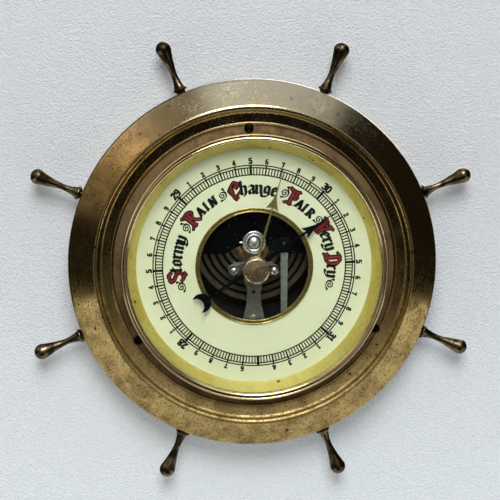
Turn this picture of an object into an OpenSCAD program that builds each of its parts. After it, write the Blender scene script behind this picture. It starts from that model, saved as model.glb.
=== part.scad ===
// Ship's wheel aneroid wall barometer.
// The plan of every piece is drawn face up: x to the right, y towards twelve o'clock and
// z out of the wall. stand() then turns it upright, so that the dial faces -Y.

/* [Wheel rim] */
// Radius of the wheel rim's outer side
rim_r = 82.5; // [80:0.5:90]
// Thickness of the rim's sheet
rim_wall = 1.2; // [0.9:0.1:1.5]
// Gap between the wall and the rim's rear edge
rim_back = 2; // [1:0.5:3]
// Height of the rim's straight side, which carries the handles
rim_side_h = 10.5; // [9:0.5:12]
// Radius of the rounded edge between the side and the broad sloping band
edge_round = 2.4; // [1.8:0.1:3]
// Height of the shoulder, where the band ends, above the straight side
band_h = 9; // [8.6:0.1:10]
// Radius of the rounded shoulder
shoulder_round = 1.6; // [1.4:0.1:1.8]
// Width of the cove from the shoulder's middle to the lip
cove_w = 7.6; // [7:0.1:8]
// Radius at the foot of the cove's wall
cove_r = 2; // [1.6:0.1:2.2]
// Slope of the cove's wall, in degrees
cove_wall = 70; // [60:1:75]
// Slope of the cove's floor, in degrees
cove_floor = 10; // [6:1:12]
// Width of the bead along the lip
lip_w = 1.2; // [1:0.1:1.5]
// Height of this bead over the cove's floor
lip_h = 0.55; // [0.4:0.05:0.7]
// Width of the dark channel between the bezel and the rim's lip
lip_gap = 3.85; // [3.7:0.05:4.2]
// Depth of the sunk ledge that the case sits on, below the case's front edge
ledge_drop = 5.8; // [5.6:0.1:6.4]
// Thickness of the ledge
ledge_t = 1.2; // [1:0.1:1.6]
// Clearance between the ledge's hole and the case
ledge_gap = 1.2; // [1:0.1:1.4]

/* [Handles] */
// Number of handles round the rim
handle_n = 8; // [8:1:8]
// Length of a handle outside the rim
handle_len = 24; // [22:0.5:27]
// Radius of a handle's bulb
bulb_r = 3.5; // [3:0.1:4]
// Radius of a handle's waist
waist_r = 1.4; // [1.2:0.1:1.8]
// Radius of a handle's collar
collar_r = 3.2; // [3:0.1:3.8]
// Thickness of the collar's edge
collar_t = 1.2; // [0.9:0.1:1.5]
// Radius of the neck that passes through the rim
neck_r = 2; // [1.8:0.1:2.3]
// Length of the neck outside the rim
neck_len = 1.1; // [0.8:0.1:1.6]
// Length of the flare between the collar and the waist
flare_len = 6.4; // [5.4:0.1:7.4]
// Radius of the threaded stud inside the rim
stud_r = 1.5; // [1.3:0.1:1.7]
// Thickness of the nut on the stud
handle_nut_t = 2; // [1.6:0.1:2.6]
// Radius over the corners of this nut
handle_nut_r = 3; // [2.8:0.1:3.4]
// Clearance between this flat nut and the curved rim
nut_seat = 0.12; // [0.1:0.01:0.2]
// Length of the stud that stands out of the nut
stud_end = 1.2; // [0.8:0.1:1.4]

/* [Case] */
// Room between the movement's base plate and the inside of the case
case_room = 7.2; // [7:0.1:7.6]
// Thickness of the case's sheet
case_wall = 0.8; // [0.6:0.1:0.9]
// Thickness of the flange soldered round the case
flange_t = 0.8; // [0.6:0.1:1]
// Radius of the hole at the back through which the adjusting screw is reached
access_r = 3.5; // [3:0.1:4]
// Turn of the three case screws away from twelve o'clock, in degrees
case_screw_turn = 2.3; // [0:0.1:5]
// Radius of the shank of each screw that holds the case in the rim
case_screw_r = 1.1; // [0.9:0.1:1.2]
// Radius of the head of each of these screws
case_head_r = 2.1; // [1.9:0.1:2.1]
// Height of the domed head
case_head_h = 1.3; // [1:0.1:1.4]
// Clearance between this head and the bezel
head_gap = 0.125; // [0.1:0.005:0.2]
// Clearance round this head in the rim's lip
notch_gap = 0.2; // [0.15:0.05:0.3]
// Clearance round the shank in the flange and the ledge
shank_gap = 0.15; // [0.1:0.05:0.2]
// Thickness of the nut behind the ledge
case_nut_t = 1.8; // [1.4:0.1:2.2]

/* [Hanging bracket] */
// Half width of the bracket
bracket_half_w = 8; // [7:0.5:10]
// Thickness of the bracket
bracket_t = 1; // [0.8:0.1:1.2]
// How far the bracket reaches out from the case
bracket_reach = 15; // [14:0.5:18]
// Height of the leg that is riveted to the case
bracket_leg = 9; // [8:0.5:10]
// Radius of the keyhole's round part
keyhole_r = 3.6; // [3:0.1:4]
// Half width of the keyhole's slot
keyslot_half = 1.8; // [1.4:0.1:2]
// Width of metal left beside the keyhole
bracket_edge = 1.7; // [1.4:0.1:1.8]
// Radius of a rivet
rivet_r = 0.8; // [0.6:0.1:1]

/* [Bezel and glass] */
// Thickness of the bezel's skirt
bezel_skirt_t = 0.7; // [0.5:0.1:0.8]
// How far the skirt covers the case
bezel_skirt_len = 3.2; // [2.6:0.1:3.4]
// Width of the bezel's front, from the skirt's outside to the opening
bezel_w = 3; // [2.8:0.1:3.4]
// Height of the bezel over the glass
bezel_h = 1.7; // [1.4:0.1:2.2]
// Thickness of the glass
glass_t = 2; // [1.8:0.1:2.4]
// How far the glass stays inside the case's outer side
glass_in = 0.4; // [0.3:0.1:0.5]
// Thickness of the reflector's sheet
reflector_t = 0.5; // [0.4:0.1:0.7]
// Width of the reflector's cone, from the case to its foot on the dial
cone_w = 5; // [4:0.1:6]

/* [Dial] */
// Depth of the dial's face below the front edge of the case
dial_drop = 5.6; // [5.3:0.1:5.9]
// Clearance between the highest screws behind the dial and the dial
dial_room = 1.05; // [1:0.05:1.4]
// Thickness of the dial
dial_t = 0.6; // [0.5:0.1:0.8]
// Radius of the hole in the middle of the dial
dial_hole_r = 25.5; // [24:0.1:26]
// Width of the trim ring's flange on the dial
trim_w = 2.1; // [1.8:0.1:2.6]
// Height of the trim ring over the dial
trim_h = 0.6; // [0.4:0.1:0.8]
// Radius of a pillar under the dial
pillar_r = 1.6; // [1.3:0.1:2]
// Distance of the pillars from the base plate's edge
pillar_edge = 4; // [3.5:0.1:4.5]

/* [Movement plate] */
// Radius of the movement's base plate
base_r = 50; // [49.5:0.5:53]
// Thickness of the base plate
base_t = 1.2; // [1:0.1:1.3]
// Height of the feet that carry it off the back of the case
foot_h = 1.2; // [1.2:0.1:1.4]
// Radius of the screws through the feet
foot_screw_r = 1; // [0.8:0.1:1.2]
// Distance of the feet from the base plate's edge
foot_edge = 5.5; // [5:0.1:6]

/* [Vacuum capsule] */
// Height of the capsule's centre above the hand's centre
capsule_y = 10.3; // [10:0.1:10.5]
// Radius of the corrugated front diaphragm
diaphragm_r = 27.7; // [27:0.1:28.2]
// Width of the soldering flange round the diaphragm
solder_w = 2.5; // [2:0.1:2.6]
// Sheet thickness of the capsule
capsule_t = 0.5; // [0.4:0.05:0.6]
// Height of the rear half of the capsule
rear_h = 2.4; // [2:0.1:2.5]
// Height of the diaphragm's lands over the flange
land_h = 1.9; // [1.5:0.1:2]
// Number of grooves in the diaphragm
groove_n = 5; // [5:1:5]
// Distance between two grooves
groove_pitch = 3.15; // [3.1:0.05:3.2]
// Width of a groove
groove_w = 0.9; // [0.7:0.1:1.1]
// Depth of a groove
groove_d = 0.8; // [0.5:0.1:0.9]
// Radius of the copper cup in the middle
cup_r = 8.6; // [8.2:0.1:8.7]
// Height of the copper cup
cup_h = 2.4; // [2:0.1:2.6]
// Radius of the post that pulls on the capsule
post_r = 1.5; // [1.3:0.1:1.8]
// Radius of the round nut that hangs the capsule on the spring
boss_r = 5.25; // [4.9:0.05:5.4]
// Thickness of the round nut
boss_t = 1.9; // [1.6:0.1:2]
// Depth of the grooves turned in the round nut's face
boss_groove = 0.35; // [0.2:0.05:0.45]

/* [Main spring] */
// Thickness of the leaf spring
leaf_t = 0.6; // [0.5:0.05:0.7]
// Room between the capsule's cup and the leaf
leaf_room = 2.1; // [2:0.05:2.3]
// How far the leaf's free end stays inside the base plate's edge
leaf_side = 23; // [22:0.5:24]
// Half width of the leaf at its clamp
clamp_half_w = 15; // [13:0.5:15.5]
// Distance of the clamp's edge above the hand's centre
clamp_y = 41; // [40.7:0.1:41.2]
// Depth of the clamp along the leaf
clamp_d = 5.6; // [5:0.1:5.8]
// Thickness of the clamp plate
clamp_t = 1.2; // [1:0.1:1.4]
// Height of the leaf's lower edge above the hand's centre
leaf_low = 5.2; // [5:0.1:5.6]
// Radius of the arch in the leaf's lower edge
arch_r = 18.9; // [18.5:0.1:19.4]
// Height of the arch's top above the hand's centre
arch_top = 9.7; // [9.2:0.1:9.8]

/* [Lever and rocker] */
// Sideways distance of the long lever from the hand's centre
lever_x = 13.5; // [13.4:0.1:13.8]
// Half width of the lever at its foot
lever_half_w = 1.65; // [1.4:0.05:1.7]
// Half width of the lever at its tip
lever_tip_half_w = 1.3; // [1.2:0.05:1.4]
// Thickness of the lever
lever_t = 0.8; // [0.6:0.1:0.9]
// Radius of the round foot that screws the lever to the leaf spring
foot_disc_r = 3.2; // [2.8:0.1:3.4]
// Length of the foot's tongue, which laps over the lever's end
tongue_len = 3.3; // [2.6:0.1:3.8]
// Thickness of this tongue
tongue_t = 0.45; // [0.35:0.05:0.5]
// Distance of the rocking shaft below the hand's centre
shaft_y = 31; // [30.8:0.1:32]
// Radius of the rocking shaft
shaft_r = 0.9; // [0.8:0.05:1]
// Height of the shaft's axis above the base plate
shaft_up = 2; // [1.9:0.05:2.1]
// Length of the short crank
crank_len = 2.4; // [2.3:0.1:2.6]
// Radius of the link between the lever and the crank
link_r = 0.5; // [0.4:0.05:0.55]
// Sideways distance of the chain arm from the hand's centre
chain_x = 5; // [4.8:0.1:5.4]
// Radius of the chain
chain_r = 0.18; // [0.16:0.01:0.22]

/* [Arbor and its plates] */
// Radius of the arbor that carries the hand
arbor_r = 0.42; // [0.36:0.02:0.46]
// Radius of the drum that the chain winds on
roller_r = 0.5; // [0.48:0.02:0.6]
// Distance of the plates' side screws from the arbor
wing_x = 9; // [8.8:0.1:9.1]
// Distance of these screws below the hand's centre
wing_y = 2.3; // [2:0.1:2.6]
// Radius of the lugs round the side screws
lug_r = 2.4; // [2.2:0.05:2.45]
// Radius of the side screws' heads
wing_head_r = 1.6; // [1.4:0.05:1.8]
// Thickness of the strap and of the front plate
strap_t = 0.9; // [0.8:0.05:1]
// Half width of the strap at its waist
strap_waist = 3; // [2.8:0.1:3.6]
// Half width of the strap's foot
strap_foot = 5; // [4.4:0.1:5.2]
// Distance of the strap's screw below the hand's centre
strap_screw_y = 23.8; // [23.4:0.1:24.2]
// Radius of the post under the strap's foot
strap_post_r = 2.4; // [2:0.1:2.6]
// Outer radius of the hairspring
hair_r = 4.6; // [4.2:0.1:4.8]
// Radius of the collet on the arbor that holds the hairspring's inner end
hair_collet_r = 1.38; // [1.3:0.02:1.5]
// Thickness of the hairspring
hair_t = 0.2; // [0.16:0.02:0.22]
// Number of turns of the hairspring
hair_turns = 4; // [3:1:5]

/* [Hands] */
// Clock angle of the indicating hand
hand_angle = 56; // [50:1:60]
// Clock angle of the brass set hand
set_angle = 16; // [14:1:18]
// Length of the indicating hand from its centre to its tip
hand_len = 44.3; // [42:0.1:46]
// Thickness of the hands
hand_t = 0.35; // [0.3:0.05:0.4]
// Height of the indicating hand above the dial
hand_up = 2.3; // [2.2:0.1:2.4]
// Length of the set hand
set_len = 44.8; // [42:0.1:46]
// Radius of the knob
knob_r = 5.8; // [5.2:0.1:6.4]
// Height of the knob's head
knob_h = 6.2; // [5:0.1:7]
// Radius of the knob's neck
knob_neck_r = 3; // [2.8:0.1:3.6]
// Height of the neck
knob_neck_h = 2; // [1.6:0.1:2.6]
// Radius of the shaft through the glass
set_shaft_r = 1.6; // [1.4:0.1:1.8]
// Radius of the set hand's collet
collet_r = 2.6; // [2.4:0.1:3]

/* [Screws of the movement] */
// Radius of the larger screws
screw_r = 1; // [0.9:0.05:1.1]
// Radius of their heads
screw_head_r = 1.9; // [1.7:0.05:2]
// Height of their heads
screw_head_h = 1; // [0.8:0.05:1.05]
// Length of thread below what they hold
screw_bite = 3.8; // [3.4:0.1:4]
// Radius of the smaller screws
small_screw_r = 0.8; // [0.7:0.02:0.84]

/* [Fits] */
// Radial clearance of a running or a fixed pin in its hole
fit = 0.05; // [0.03:0.01:0.08]
// Clearance between two parts that only lie in one another
gap = 0.3; // [0.25:0.05:0.35]
// Clearance that lets the leaf spring rock in its clamp and under its nut
rock = 0.15; // [0.12:0.01:0.18]

/* [Hidden] */
$fn = 96;

// The movement's levels, from the base plate to the leaf spring's clamp
base_z = case_wall + foot_h;
base_top = base_z + base_t;
rear_boss_h = 0.6;
flange_z = base_top + rear_boss_h + rear_h;
land_z = flange_z + land_h;
leaf_z = land_z + cup_h + leaf_room;
leaf_top = leaf_z + leaf_t;
clamp_z = leaf_top + rock;
clamp_top = clamp_z + clamp_t;

// The dial's place in front of the movement, and the case round both
dial_back = clamp_top + screw_head_h + dial_room;
dial_z = dial_back + dial_t;
case_depth = dial_z + dial_drop;
ledge_z = case_depth - ledge_drop;
inner_r = base_r + case_room;
drum_r = inner_r + case_wall;
dial_r = inner_r - gap;
bezel_in_r = drum_r + fit;
bezel_r = bezel_in_r + bezel_skirt_t;
opening_r = bezel_r - bezel_w;

// The rim's section, from the case's channel outwards
lip_r = bezel_r + lip_gap;
side_z = rim_back + rim_side_h;
edge_at = rim_r - edge_round;
shoulder_at = lip_r + cove_w;
shoulder_z = side_z + band_h - shoulder_round;
// The band is the straight line that touches the rounded edge and the shoulder
band_run = norm([edge_at - shoulder_at, shoulder_z - side_z]);
band_up = acos((shoulder_round - edge_round) / band_run)
    - atan2(shoulder_z - side_z, edge_at - shoulder_at);
cove_at = shoulder_at - (shoulder_round + cove_r) * sin(cove_wall);
cove_z = shoulder_z + (shoulder_round + cove_r) * cos(cove_wall);
lip_z = cove_z - cove_r * cos(cove_floor)
    - (cove_at + cove_r * sin(cove_floor) - lip_r - lip_w) * tan(cove_floor);
ledge_r = drum_r + ledge_gap;
handle_z = rim_back + rim_side_h / 2 + 0.4;

// The case's flange and screws, and what closes the case
flange_r = lip_r - gap;
case_screw_at = bezel_r + case_head_r + head_gap;
reflector_r = inner_r - cone_w;
glass_r = drum_r - glass_in;
glass_z = case_depth + fit;
glass_top = glass_z + glass_t;
bezel_z = glass_top + bezel_h;
keyhole_at = drum_r + fit + bracket_t + keyhole_r + bracket_edge;

// Pieces of the movement that keep their place by the base plate and the leaf
pillar_at = base_r - pillar_edge;
foot_at = base_r - foot_edge;
leaf_half_w = base_r - leaf_side;
boss_z = leaf_top + rock;
boss_top = boss_z + boss_t;
first_groove = diaphragm_r - 3.65 - (groove_n - 1) * groove_pitch;
shaft_z = base_top + shaft_up;

// Levels of the arbor's plates, from the back to the front
rear_bar_z = land_z + 1.3;
rear_bar_t = 0.8;
strap_z = leaf_z + 0.4;
strap_top = strap_z + strap_t;
wing_z = strap_top + 1.2;
wing_top = wing_z + strap_t;
roller_z = rear_bar_z + rear_bar_t + 0.3;
roller_h = 1.5;
chain_z = roller_z + roller_h / 2;
chain_arm = chain_z - shaft_z;
lever_z = leaf_top + 0.2;

// Levels of the hands and the knob
hand_z = dial_z + hand_up;
hub_r = 1.6;
hub_top = hand_z + hand_t + 0.5;
collet_h = 1.3;
set_collet_z = glass_z - fit - collet_h;
set_nut_h = 0.7;
washer_t = 0.3;
knob_z = glass_top + washer_t + knob_neck_h;

// Longer than the whole object is deep, for holes that pass through
through = 2 * case_depth;

module stand() {
    rotate([90, 0, 0]) children();
}

// Points along an arc of an ellipse, from one angle to another
function arc(c, rx, ry, a0, a1, n) = [
    for (i = [0:n])
        let (a = a0 + (a1 - a0) * i / n)
            [c[0] + rx * cos(a), c[1] + ry * sin(a)]
];

function smooth(t) = t * t * (3 - 2 * t);

// Ring with a rectangular section
module ring(r_in, r_out, h) {
    difference() {
        cylinder(r = r_out, h = h);
        translate([0, 0, -1]) cylinder(r = r_in, h = h + 2);
    }
}

// Slotted round-headed screw that stands on z = 0, with its shank below
module round_screw(head_r, head_h, shank_r, shank_len, turn = 0) {
    slot_w = head_r * 0.3;
    difference() {
        rotate_extrude() polygon(concat(
            [[0, -shank_len], [shank_r, -shank_len], [shank_r, 0], [head_r, 0]],
            arc([0, head_h * 0.25], head_r, head_h * 0.75, 0, 90, 8)
        ));
        rotate([0, 0, turn]) translate([-head_r - 1, -slot_w / 2, head_h * 0.6])
            cube([2 * head_r + 2, slot_w, head_h]);
    }
}

// Hexagonal nut with a round bore, standing on z = 0
module hex_nut(across_r, bore_r, h) {
    difference() {
        cylinder(r = across_r, h = h, $fn = 6);
        translate([0, 0, -1]) cylinder(r = bore_r, h = h + 2);
    }
}

// The wheel rim: one spun brass shell with a sunk ledge for the case

// One surface of the sheet, from the rear edge over the band to the foot of the cove
function rim_skin(inset) = concat(
    [[rim_r - inset, rim_back]],
    arc([edge_at, side_z], edge_round - inset, edge_round - inset, 0, band_up, 8),
    arc([shoulder_at, shoulder_z], shoulder_round - inset, shoulder_round - inset,
        band_up, 90 + cove_wall, 8),
    arc([cove_at, cove_z], cove_r + inset, cove_r + inset, cove_wall - 90, cove_floor - 90, 6)
);

// The lip with its bead, and the sunk ledge
function rim_lip() = concat(
    arc([lip_r + lip_w / 2, lip_z], lip_w / 2, lip_h, 0, 180, 8),
    [[lip_r, ledge_z], [ledge_r, ledge_z], [ledge_r, ledge_z - ledge_t]],
    [[lip_r + rim_wall, ledge_z - ledge_t], [lip_r + rim_wall, lip_z - rim_wall]]
);

function reversed(p) = [for (i = [len(p) - 1:-1:0]) p[i]];

// Places something at each of the three case screws
module at_case_screws() {
    for (i = [0:2]) rotate([0, 0, 90 + case_screw_turn - 120 * i])
        translate([case_screw_at, 0, 0]) children();
}

module handle_place(i) {
    rotate([0, 0, (i - 0.5) * 360 / handle_n]) translate([rim_r, 0, handle_z])
        rotate([0, 90, 0]) children();
}

module wheel_rim() {
    color("darkgoldenrod") stand() difference() {
        rotate_extrude($fn = 180)
            polygon(concat(rim_skin(0), rim_lip(), reversed(rim_skin(rim_wall))));
        for (i = [1:handle_n]) handle_place(i)
            translate([0, 0, -rim_wall - 2]) cylinder(r = neck_r + fit, h = rim_wall + 4);
        at_case_screws() {
            translate([0, 0, ledge_z - ledge_t - 1])
                cylinder(r = case_screw_r + shank_gap, h = ledge_t + 2);
            translate([0, 0, ledge_z + flange_t / 2])
                cylinder(r = case_head_r + notch_gap, h = through);
        }
    }
}

// Handles: turned brass spindles, each with a bulb, a waist and a collar, and a stud

function handle_outline() =
    let (collar_z = neck_len + collar_t,
         waist_z = collar_z + flare_len,
         bulb_z = handle_len - bulb_r,
         edge = collar_t / 2,
         foot_out = collar_r - edge,
         // The ball of the bulb begins this many degrees below its middle
         ball_low = 15,
         ball_r = bulb_r * cos(ball_low),
         ball_z = bulb_z - bulb_r * sin(ball_low))
    concat(
        [[0, -rim_wall - handle_nut_t - stud_end], [stud_r, -rim_wall - handle_nut_t - stud_end]],
        [[stud_r, -rim_wall], [neck_r, -rim_wall], [neck_r, neck_len * 0.3]],
        arc([foot_out, neck_len + edge], edge, edge, -80, 80, 8),
        [for (i = [1:9])
            let (t = i / 9)
            [waist_r + (foot_out - waist_r) * (1 - t) * (1 - t), collar_z + flare_len * t]],
        [for (i = [1:12])
            let (t = i / 12)
            [waist_r + (ball_r - waist_r) * pow(t, 1.5), waist_z + (ball_z - waist_z) * t]],
        arc([0, bulb_z], bulb_r, bulb_r, -ball_low + 8, 90, 12)
    );

module handle(i) {
    color("saddlebrown") stand() handle_place(i)
        rotate_extrude($fn = 48) polygon(handle_outline());
}

module handle_nuts() {
    color("goldenrod") stand() for (i = [1:handle_n]) handle_place(i)
        translate([0, 0, -rim_wall - handle_nut_t - nut_seat])
            hex_nut(handle_nut_r, stud_r + fit, handle_nut_t);
}

// Movement case: a drawn drum with a flange soldered round it

module at_feet() {
    for (i = [0:2]) rotate([0, 0, 30 + 120 * i]) translate([foot_at, 0, 0]) children();
}

module at_rivets() {
    for (side = [-1, 1])
        translate([side * bracket_half_w * 0.56, inner_r - 0.75, bracket_t + bracket_leg * 0.55])
            rotate([-90, 0, 0]) children();
}

module movement_case() {
    color("peru") stand() difference() {
        union() {
            difference() {
                cylinder(r = drum_r, h = case_depth, $fn = 180);
                translate([0, 0, case_wall]) cylinder(r = inner_r, h = case_depth, $fn = 180);
            }
            translate([0, 0, ledge_z]) ring(inner_r + case_wall / 2, flange_r, flange_t);
        }
        translate([0, capsule_y, -1]) cylinder(r = access_r, h = case_wall + 2);
        at_feet() translate([0, 0, -1]) cylinder(r = foot_screw_r + fit, h = case_wall + 2);
        at_case_screws() translate([0, 0, ledge_z - 1])
            cylinder(r = case_screw_r + shank_gap, h = flange_t + 2);
        at_rivets() cylinder(r = rivet_r + fit, h = bracket_leg);
    }
}

module case_screws() {
    color("black") stand() at_case_screws() translate([0, 0, ledge_z + flange_t])
        round_screw(case_head_r, case_head_h, case_screw_r,
            flange_t + ledge_t + case_nut_t + 0.8, 35);
}

module case_nuts() {
    color("goldenrod") stand() at_case_screws() translate([0, 0, ledge_z - ledge_t - case_nut_t])
        hex_nut(case_screw_r + 1, case_screw_r + fit, case_nut_t);
}

// Hanging bracket: a leg riveted to the case, and a plate with a keyhole

module hanging_bracket() {
    leg_in = drum_r + fit;
    slot_len = bracket_reach - bracket_t - keyhole_r - keyslot_half - 2 * bracket_edge;
    color("goldenrod") stand() difference() {
        union() {
            translate([-bracket_half_w, 0, 0]) intersection() {
                cube([2 * bracket_half_w, leg_in + bracket_reach, bracket_t]);
                translate([bracket_half_w, 0, -1])
                    cylinder(r = leg_in + bracket_reach, h = bracket_leg);
            }
            intersection() {
                cylinder(r = leg_in + bracket_t, h = bracket_t + bracket_leg);
                translate([-bracket_half_w, 0, 0])
                    cube([2 * bracket_half_w, leg_in + bracket_reach, bracket_t + bracket_leg]);
            }
        }
        translate([0, 0, -1]) cylinder(r = leg_in, h = bracket_t + bracket_leg + 2, $fn = 180);
        translate([0, keyhole_at, -1]) cylinder(r = keyhole_r, h = bracket_t + 2);
        translate([-keyslot_half, keyhole_at, -1])
            cube([2 * keyslot_half, slot_len, bracket_t + 2]);
        translate([0, keyhole_at + slot_len, -1])
            cylinder(r = keyslot_half, h = bracket_t + 2);
        at_rivets() cylinder(r = rivet_r + fit, h = bracket_leg);
    }
}

module bracket_rivets() {
    grip = 0.45 + case_wall + bracket_t + 0.3;
    color("gold") stand() at_rivets() rotate_extrude() polygon(concat(
        [[0, 0], [rivet_r + 0.5, 0], [rivet_r + 0.5, 0.45], [rivet_r, 0.45], [rivet_r, grip]],
        arc([0, grip], rivet_r + 0.5, 0.7, 0, 90, 4)
    ));
}

// Bezel, glass and reflector

// Section of the bezel: skirt, outer bead, groove, inner bead and the edge of the opening
function bezel_section() =
    let (skirt_z = glass_z - bezel_skirt_len,
         bead = [bezel_r - bezel_w * 0.62, glass_top + bezel_h * 0.4])
    concat(
        [[bezel_in_r, skirt_z], [bezel_r, skirt_z]],
        arc([bezel_r - bezel_w * 0.2, glass_top + bezel_h * 0.3],
            bezel_w * 0.2, bezel_h * 0.5, 0, 90, 5),
        [[bezel_r - bezel_w * 0.34, bezel_z - bezel_h * 0.3]],
        [[bezel_r - bezel_w * 0.42, bezel_z - bezel_h * 0.75]],
        arc(bead, bezel_w * 0.2, bezel_h * 0.6, 0, 90, 4),
        arc(bead, bezel_w * 0.38, bezel_h * 0.6, 105, 165, 4),
        [[opening_r, glass_top + bezel_h * 0.25], [opening_r, glass_top + fit]],
        [[bezel_in_r, glass_top + fit]]
    );

module bezel() {
    color("burlywood") stand() rotate_extrude($fn = 180) polygon(bezel_section());
}

module glass() {
    color("lightcyan", 0.3) stand() translate([0, 0, glass_z])
        ring(set_shaft_r + fit, glass_r, glass_t);
}

module reflector_ring() {
    top_r = opening_r - 0.1;
    rest_r = inner_r - 0.1;
    t = reflector_t;
    color("gold") stand() rotate_extrude($fn = 180) polygon([
        [reflector_r, dial_z], [reflector_r + t, dial_z], [top_r + t * 0.8, case_depth - t],
        [rest_r, case_depth - t], [rest_r, case_depth], [top_r, case_depth]
    ]);
}

// Dial, its trim ring and its pillars

module dial() {
    color("lightyellow") stand() translate([0, 0, dial_back]) ring(dial_hole_r, dial_r, dial_t);
}

module hole_trim_ring() {
    r_in = dial_hole_r + 0.7 - trim_w;
    r_out = dial_hole_r + 0.7;
    bead = trim_w * 0.15;
    color("gold") stand() rotate_extrude($fn = 144) polygon(concat(
        [[r_in, dial_back - 0.2], [dial_hole_r - fit, dial_back - 0.2], [dial_hole_r - fit, dial_z]],
        [[r_out, dial_z]],
        arc([r_out - bead, dial_z + trim_h / 2], bead, trim_h * 0.4, 0, 180, 8),
        [[r_out - 2.2 * bead, dial_z + trim_h * 0.2], [r_in + 2.2 * bead, dial_z + trim_h * 0.2]],
        arc([r_in + bead, dial_z + trim_h / 2], bead, trim_h / 2, 0, 180, 8)
    ));
}

module at_pillars() {
    for (i = [0:3]) rotate([0, 0, 45 + 90 * i]) translate([pillar_at, 0, 0]) children();
}

module dial_pillars() {
    color("khaki") stand() at_pillars() {
        translate([0, 0, base_top]) cylinder(r = pillar_r, h = dial_back - base_top);
        translate([0, 0, base_z]) cylinder(r = pillar_r * 0.6, h = base_t + 1);
    }
}

// Base plate of the movement

module base_plate() {
    color("dimgray") stand() difference() {
        union() {
            translate([0, 0, base_z]) cylinder(r = base_r, h = base_t, $fn = 144);
            at_feet() translate([0, 0, case_wall]) cylinder(r = foot_screw_r + 1.8, h = foot_h + 0.5);
        }
        at_feet() cylinder(r = foot_screw_r + fit, h = base_top + 1);
        at_pillars() cylinder(r = pillar_r * 0.6 + fit, h = base_top + 1);
        translate([0, capsule_y, 0]) cylinder(r = post_r + fit, h = base_top + 1);
        at_bearings() translate([0, -bearing_hole_y, 0])
            cylinder(r = bearing_screw_r + fit, h = base_top + 1);
        translate([0, -strap_screw_y, 0]) cylinder(r = strap_post_r * 0.6 + fit, h = base_top + 1);
    }
}

module base_screws() {
    color("silver") stand() at_feet() translate([0, 0, base_top])
        round_screw(foot_screw_r + 0.9, 0.9, foot_screw_r, base_top - 0.1, 20);
}

// Vacuum capsule: a shallow pan, a corrugated diaphragm and a copper cup on its middle

module at_capsule() {
    stand() translate([0, capsule_y, 0]) children();
}

module capsule_rear() {
    pan_r = diaphragm_r + 0.6;
    t = capsule_t;
    z0 = base_top + rear_boss_h;
    color("tan") at_capsule() rotate_extrude($fn = 144) polygon([
        [post_r + fit, base_top], [5, base_top], [5, z0], [pan_r - 0.5, z0], [pan_r, z0 + 0.5],
        [pan_r, flange_z - t], [diaphragm_r + solder_w, flange_z - t],
        [diaphragm_r + solder_w, flange_z], [pan_r - t, flange_z], [pan_r - t, z0 + t],
        [5.5, z0 + t], [5.5, z0 + 1.4], [0, z0 + 1.4], [0, z0 + 0.6], [post_r + fit, z0 + 0.6]
    ]);
}

// Height of the diaphragm over the flange at a radius: crowned lands between narrow grooves
function land_at(r) =
    let (k = (r - first_groove) / groove_pitch,
         off = abs(k - round(k)) * groove_pitch,
         inside = round(k) >= 0 && round(k) < groove_n)
    land_h - (inside && off < groove_w ? groove_d * (1 + cos(180 * off / groove_w)) / 2 : 0);

function diaphragm_top() = concat(
    [[cup_r - 1.4, flange_z + land_h], [first_groove - groove_w, flange_z + land_h]],
    [for (g = [0:groove_n - 1], s = [-2:2])
        let (r = first_groove + g * groove_pitch + s * groove_w / 2.5)
        [r, flange_z + land_at(r)]],
    arc([diaphragm_r - 1, flange_z + land_h - 1], 1, 1, 80, 0, 5),
    [[diaphragm_r, flange_z]]
);

module capsule_diaphragm() {
    t = capsule_t;
    top = diaphragm_top();
    under = [for (i = [len(top) - 2:-1:0])
        [min(top[i][0], diaphragm_r - t), top[i][1] - t]];
    color("tan") at_capsule() rotate_extrude($fn = 144)
        polygon(concat(top, [[diaphragm_r - t, flange_z]], under));
}

module capsule_cup() {
    color("chocolate") at_capsule() rotate_extrude($fn = 96) polygon(concat(
        [[post_r + fit, land_z], [cup_r, land_z], [cup_r, land_z + 0.35], [cup_r - 0.7, land_z + 0.5]],
        arc([cup_r - 2.4, land_z + cup_h - 1.2], 1.5, 1.2, 10, 90, 6),
        [[post_r + fit, land_z + cup_h]]
    ));
}

module capsule_post() {
    color("silver") at_capsule() {
        translate([0, 0, land_z]) cylinder(r = post_r, h = boss_z + boss_t * 0.6 - land_z);
        translate([0, 0, land_z + cup_h])
            cylinder(r = post_r + 1, h = leaf_z - rock - land_z - cup_h);
    }
}

module boss_nut() {
    r = boss_r;
    color("lightgray") at_capsule() difference() {
        rotate_extrude($fn = 96) polygon(concat(
            [[0, boss_z], [r, boss_z], [r, boss_z + boss_t * 0.5]],
            arc([r - 0.5, boss_top - 0.5], 0.5, 0.5, 0, 90, 5),
            [[r * 0.81, boss_top - 0.05], [r * 0.77, boss_top - boss_groove], [r * 0.73, boss_top]],
            [[r * 0.66, boss_top + 0.1], [r * 0.61, boss_top]],
            [[r * 0.58, boss_top - boss_groove], [r * 0.47, boss_top - boss_groove]],
            [[r * 0.45, boss_top + 0.15]],
            arc([0, boss_top + 0.15], r * 0.42, 0.9, 0, 90, 8)
        ));
        translate([0, 0, boss_z - 1]) cylinder(r = post_r + fit, h = 1 + boss_t * 0.6 + fit);
        translate([-r * 0.5, 0, boss_z + boss_t * 0.5]) rotate([0, -90, 0])
            cylinder(r = 0.55 + fit, h = r);
    }
}

module boss_pin() {
    color("silver") at_capsule() translate([-boss_r * 0.5, 0, boss_z + boss_t * 0.5])
        rotate([0, -90, 0]) cylinder(r = 0.55, h = boss_r * 0.5 + 1.2);
}

// Main spring: a broad leaf clamped at the top, with an arch in its free edge

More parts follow.
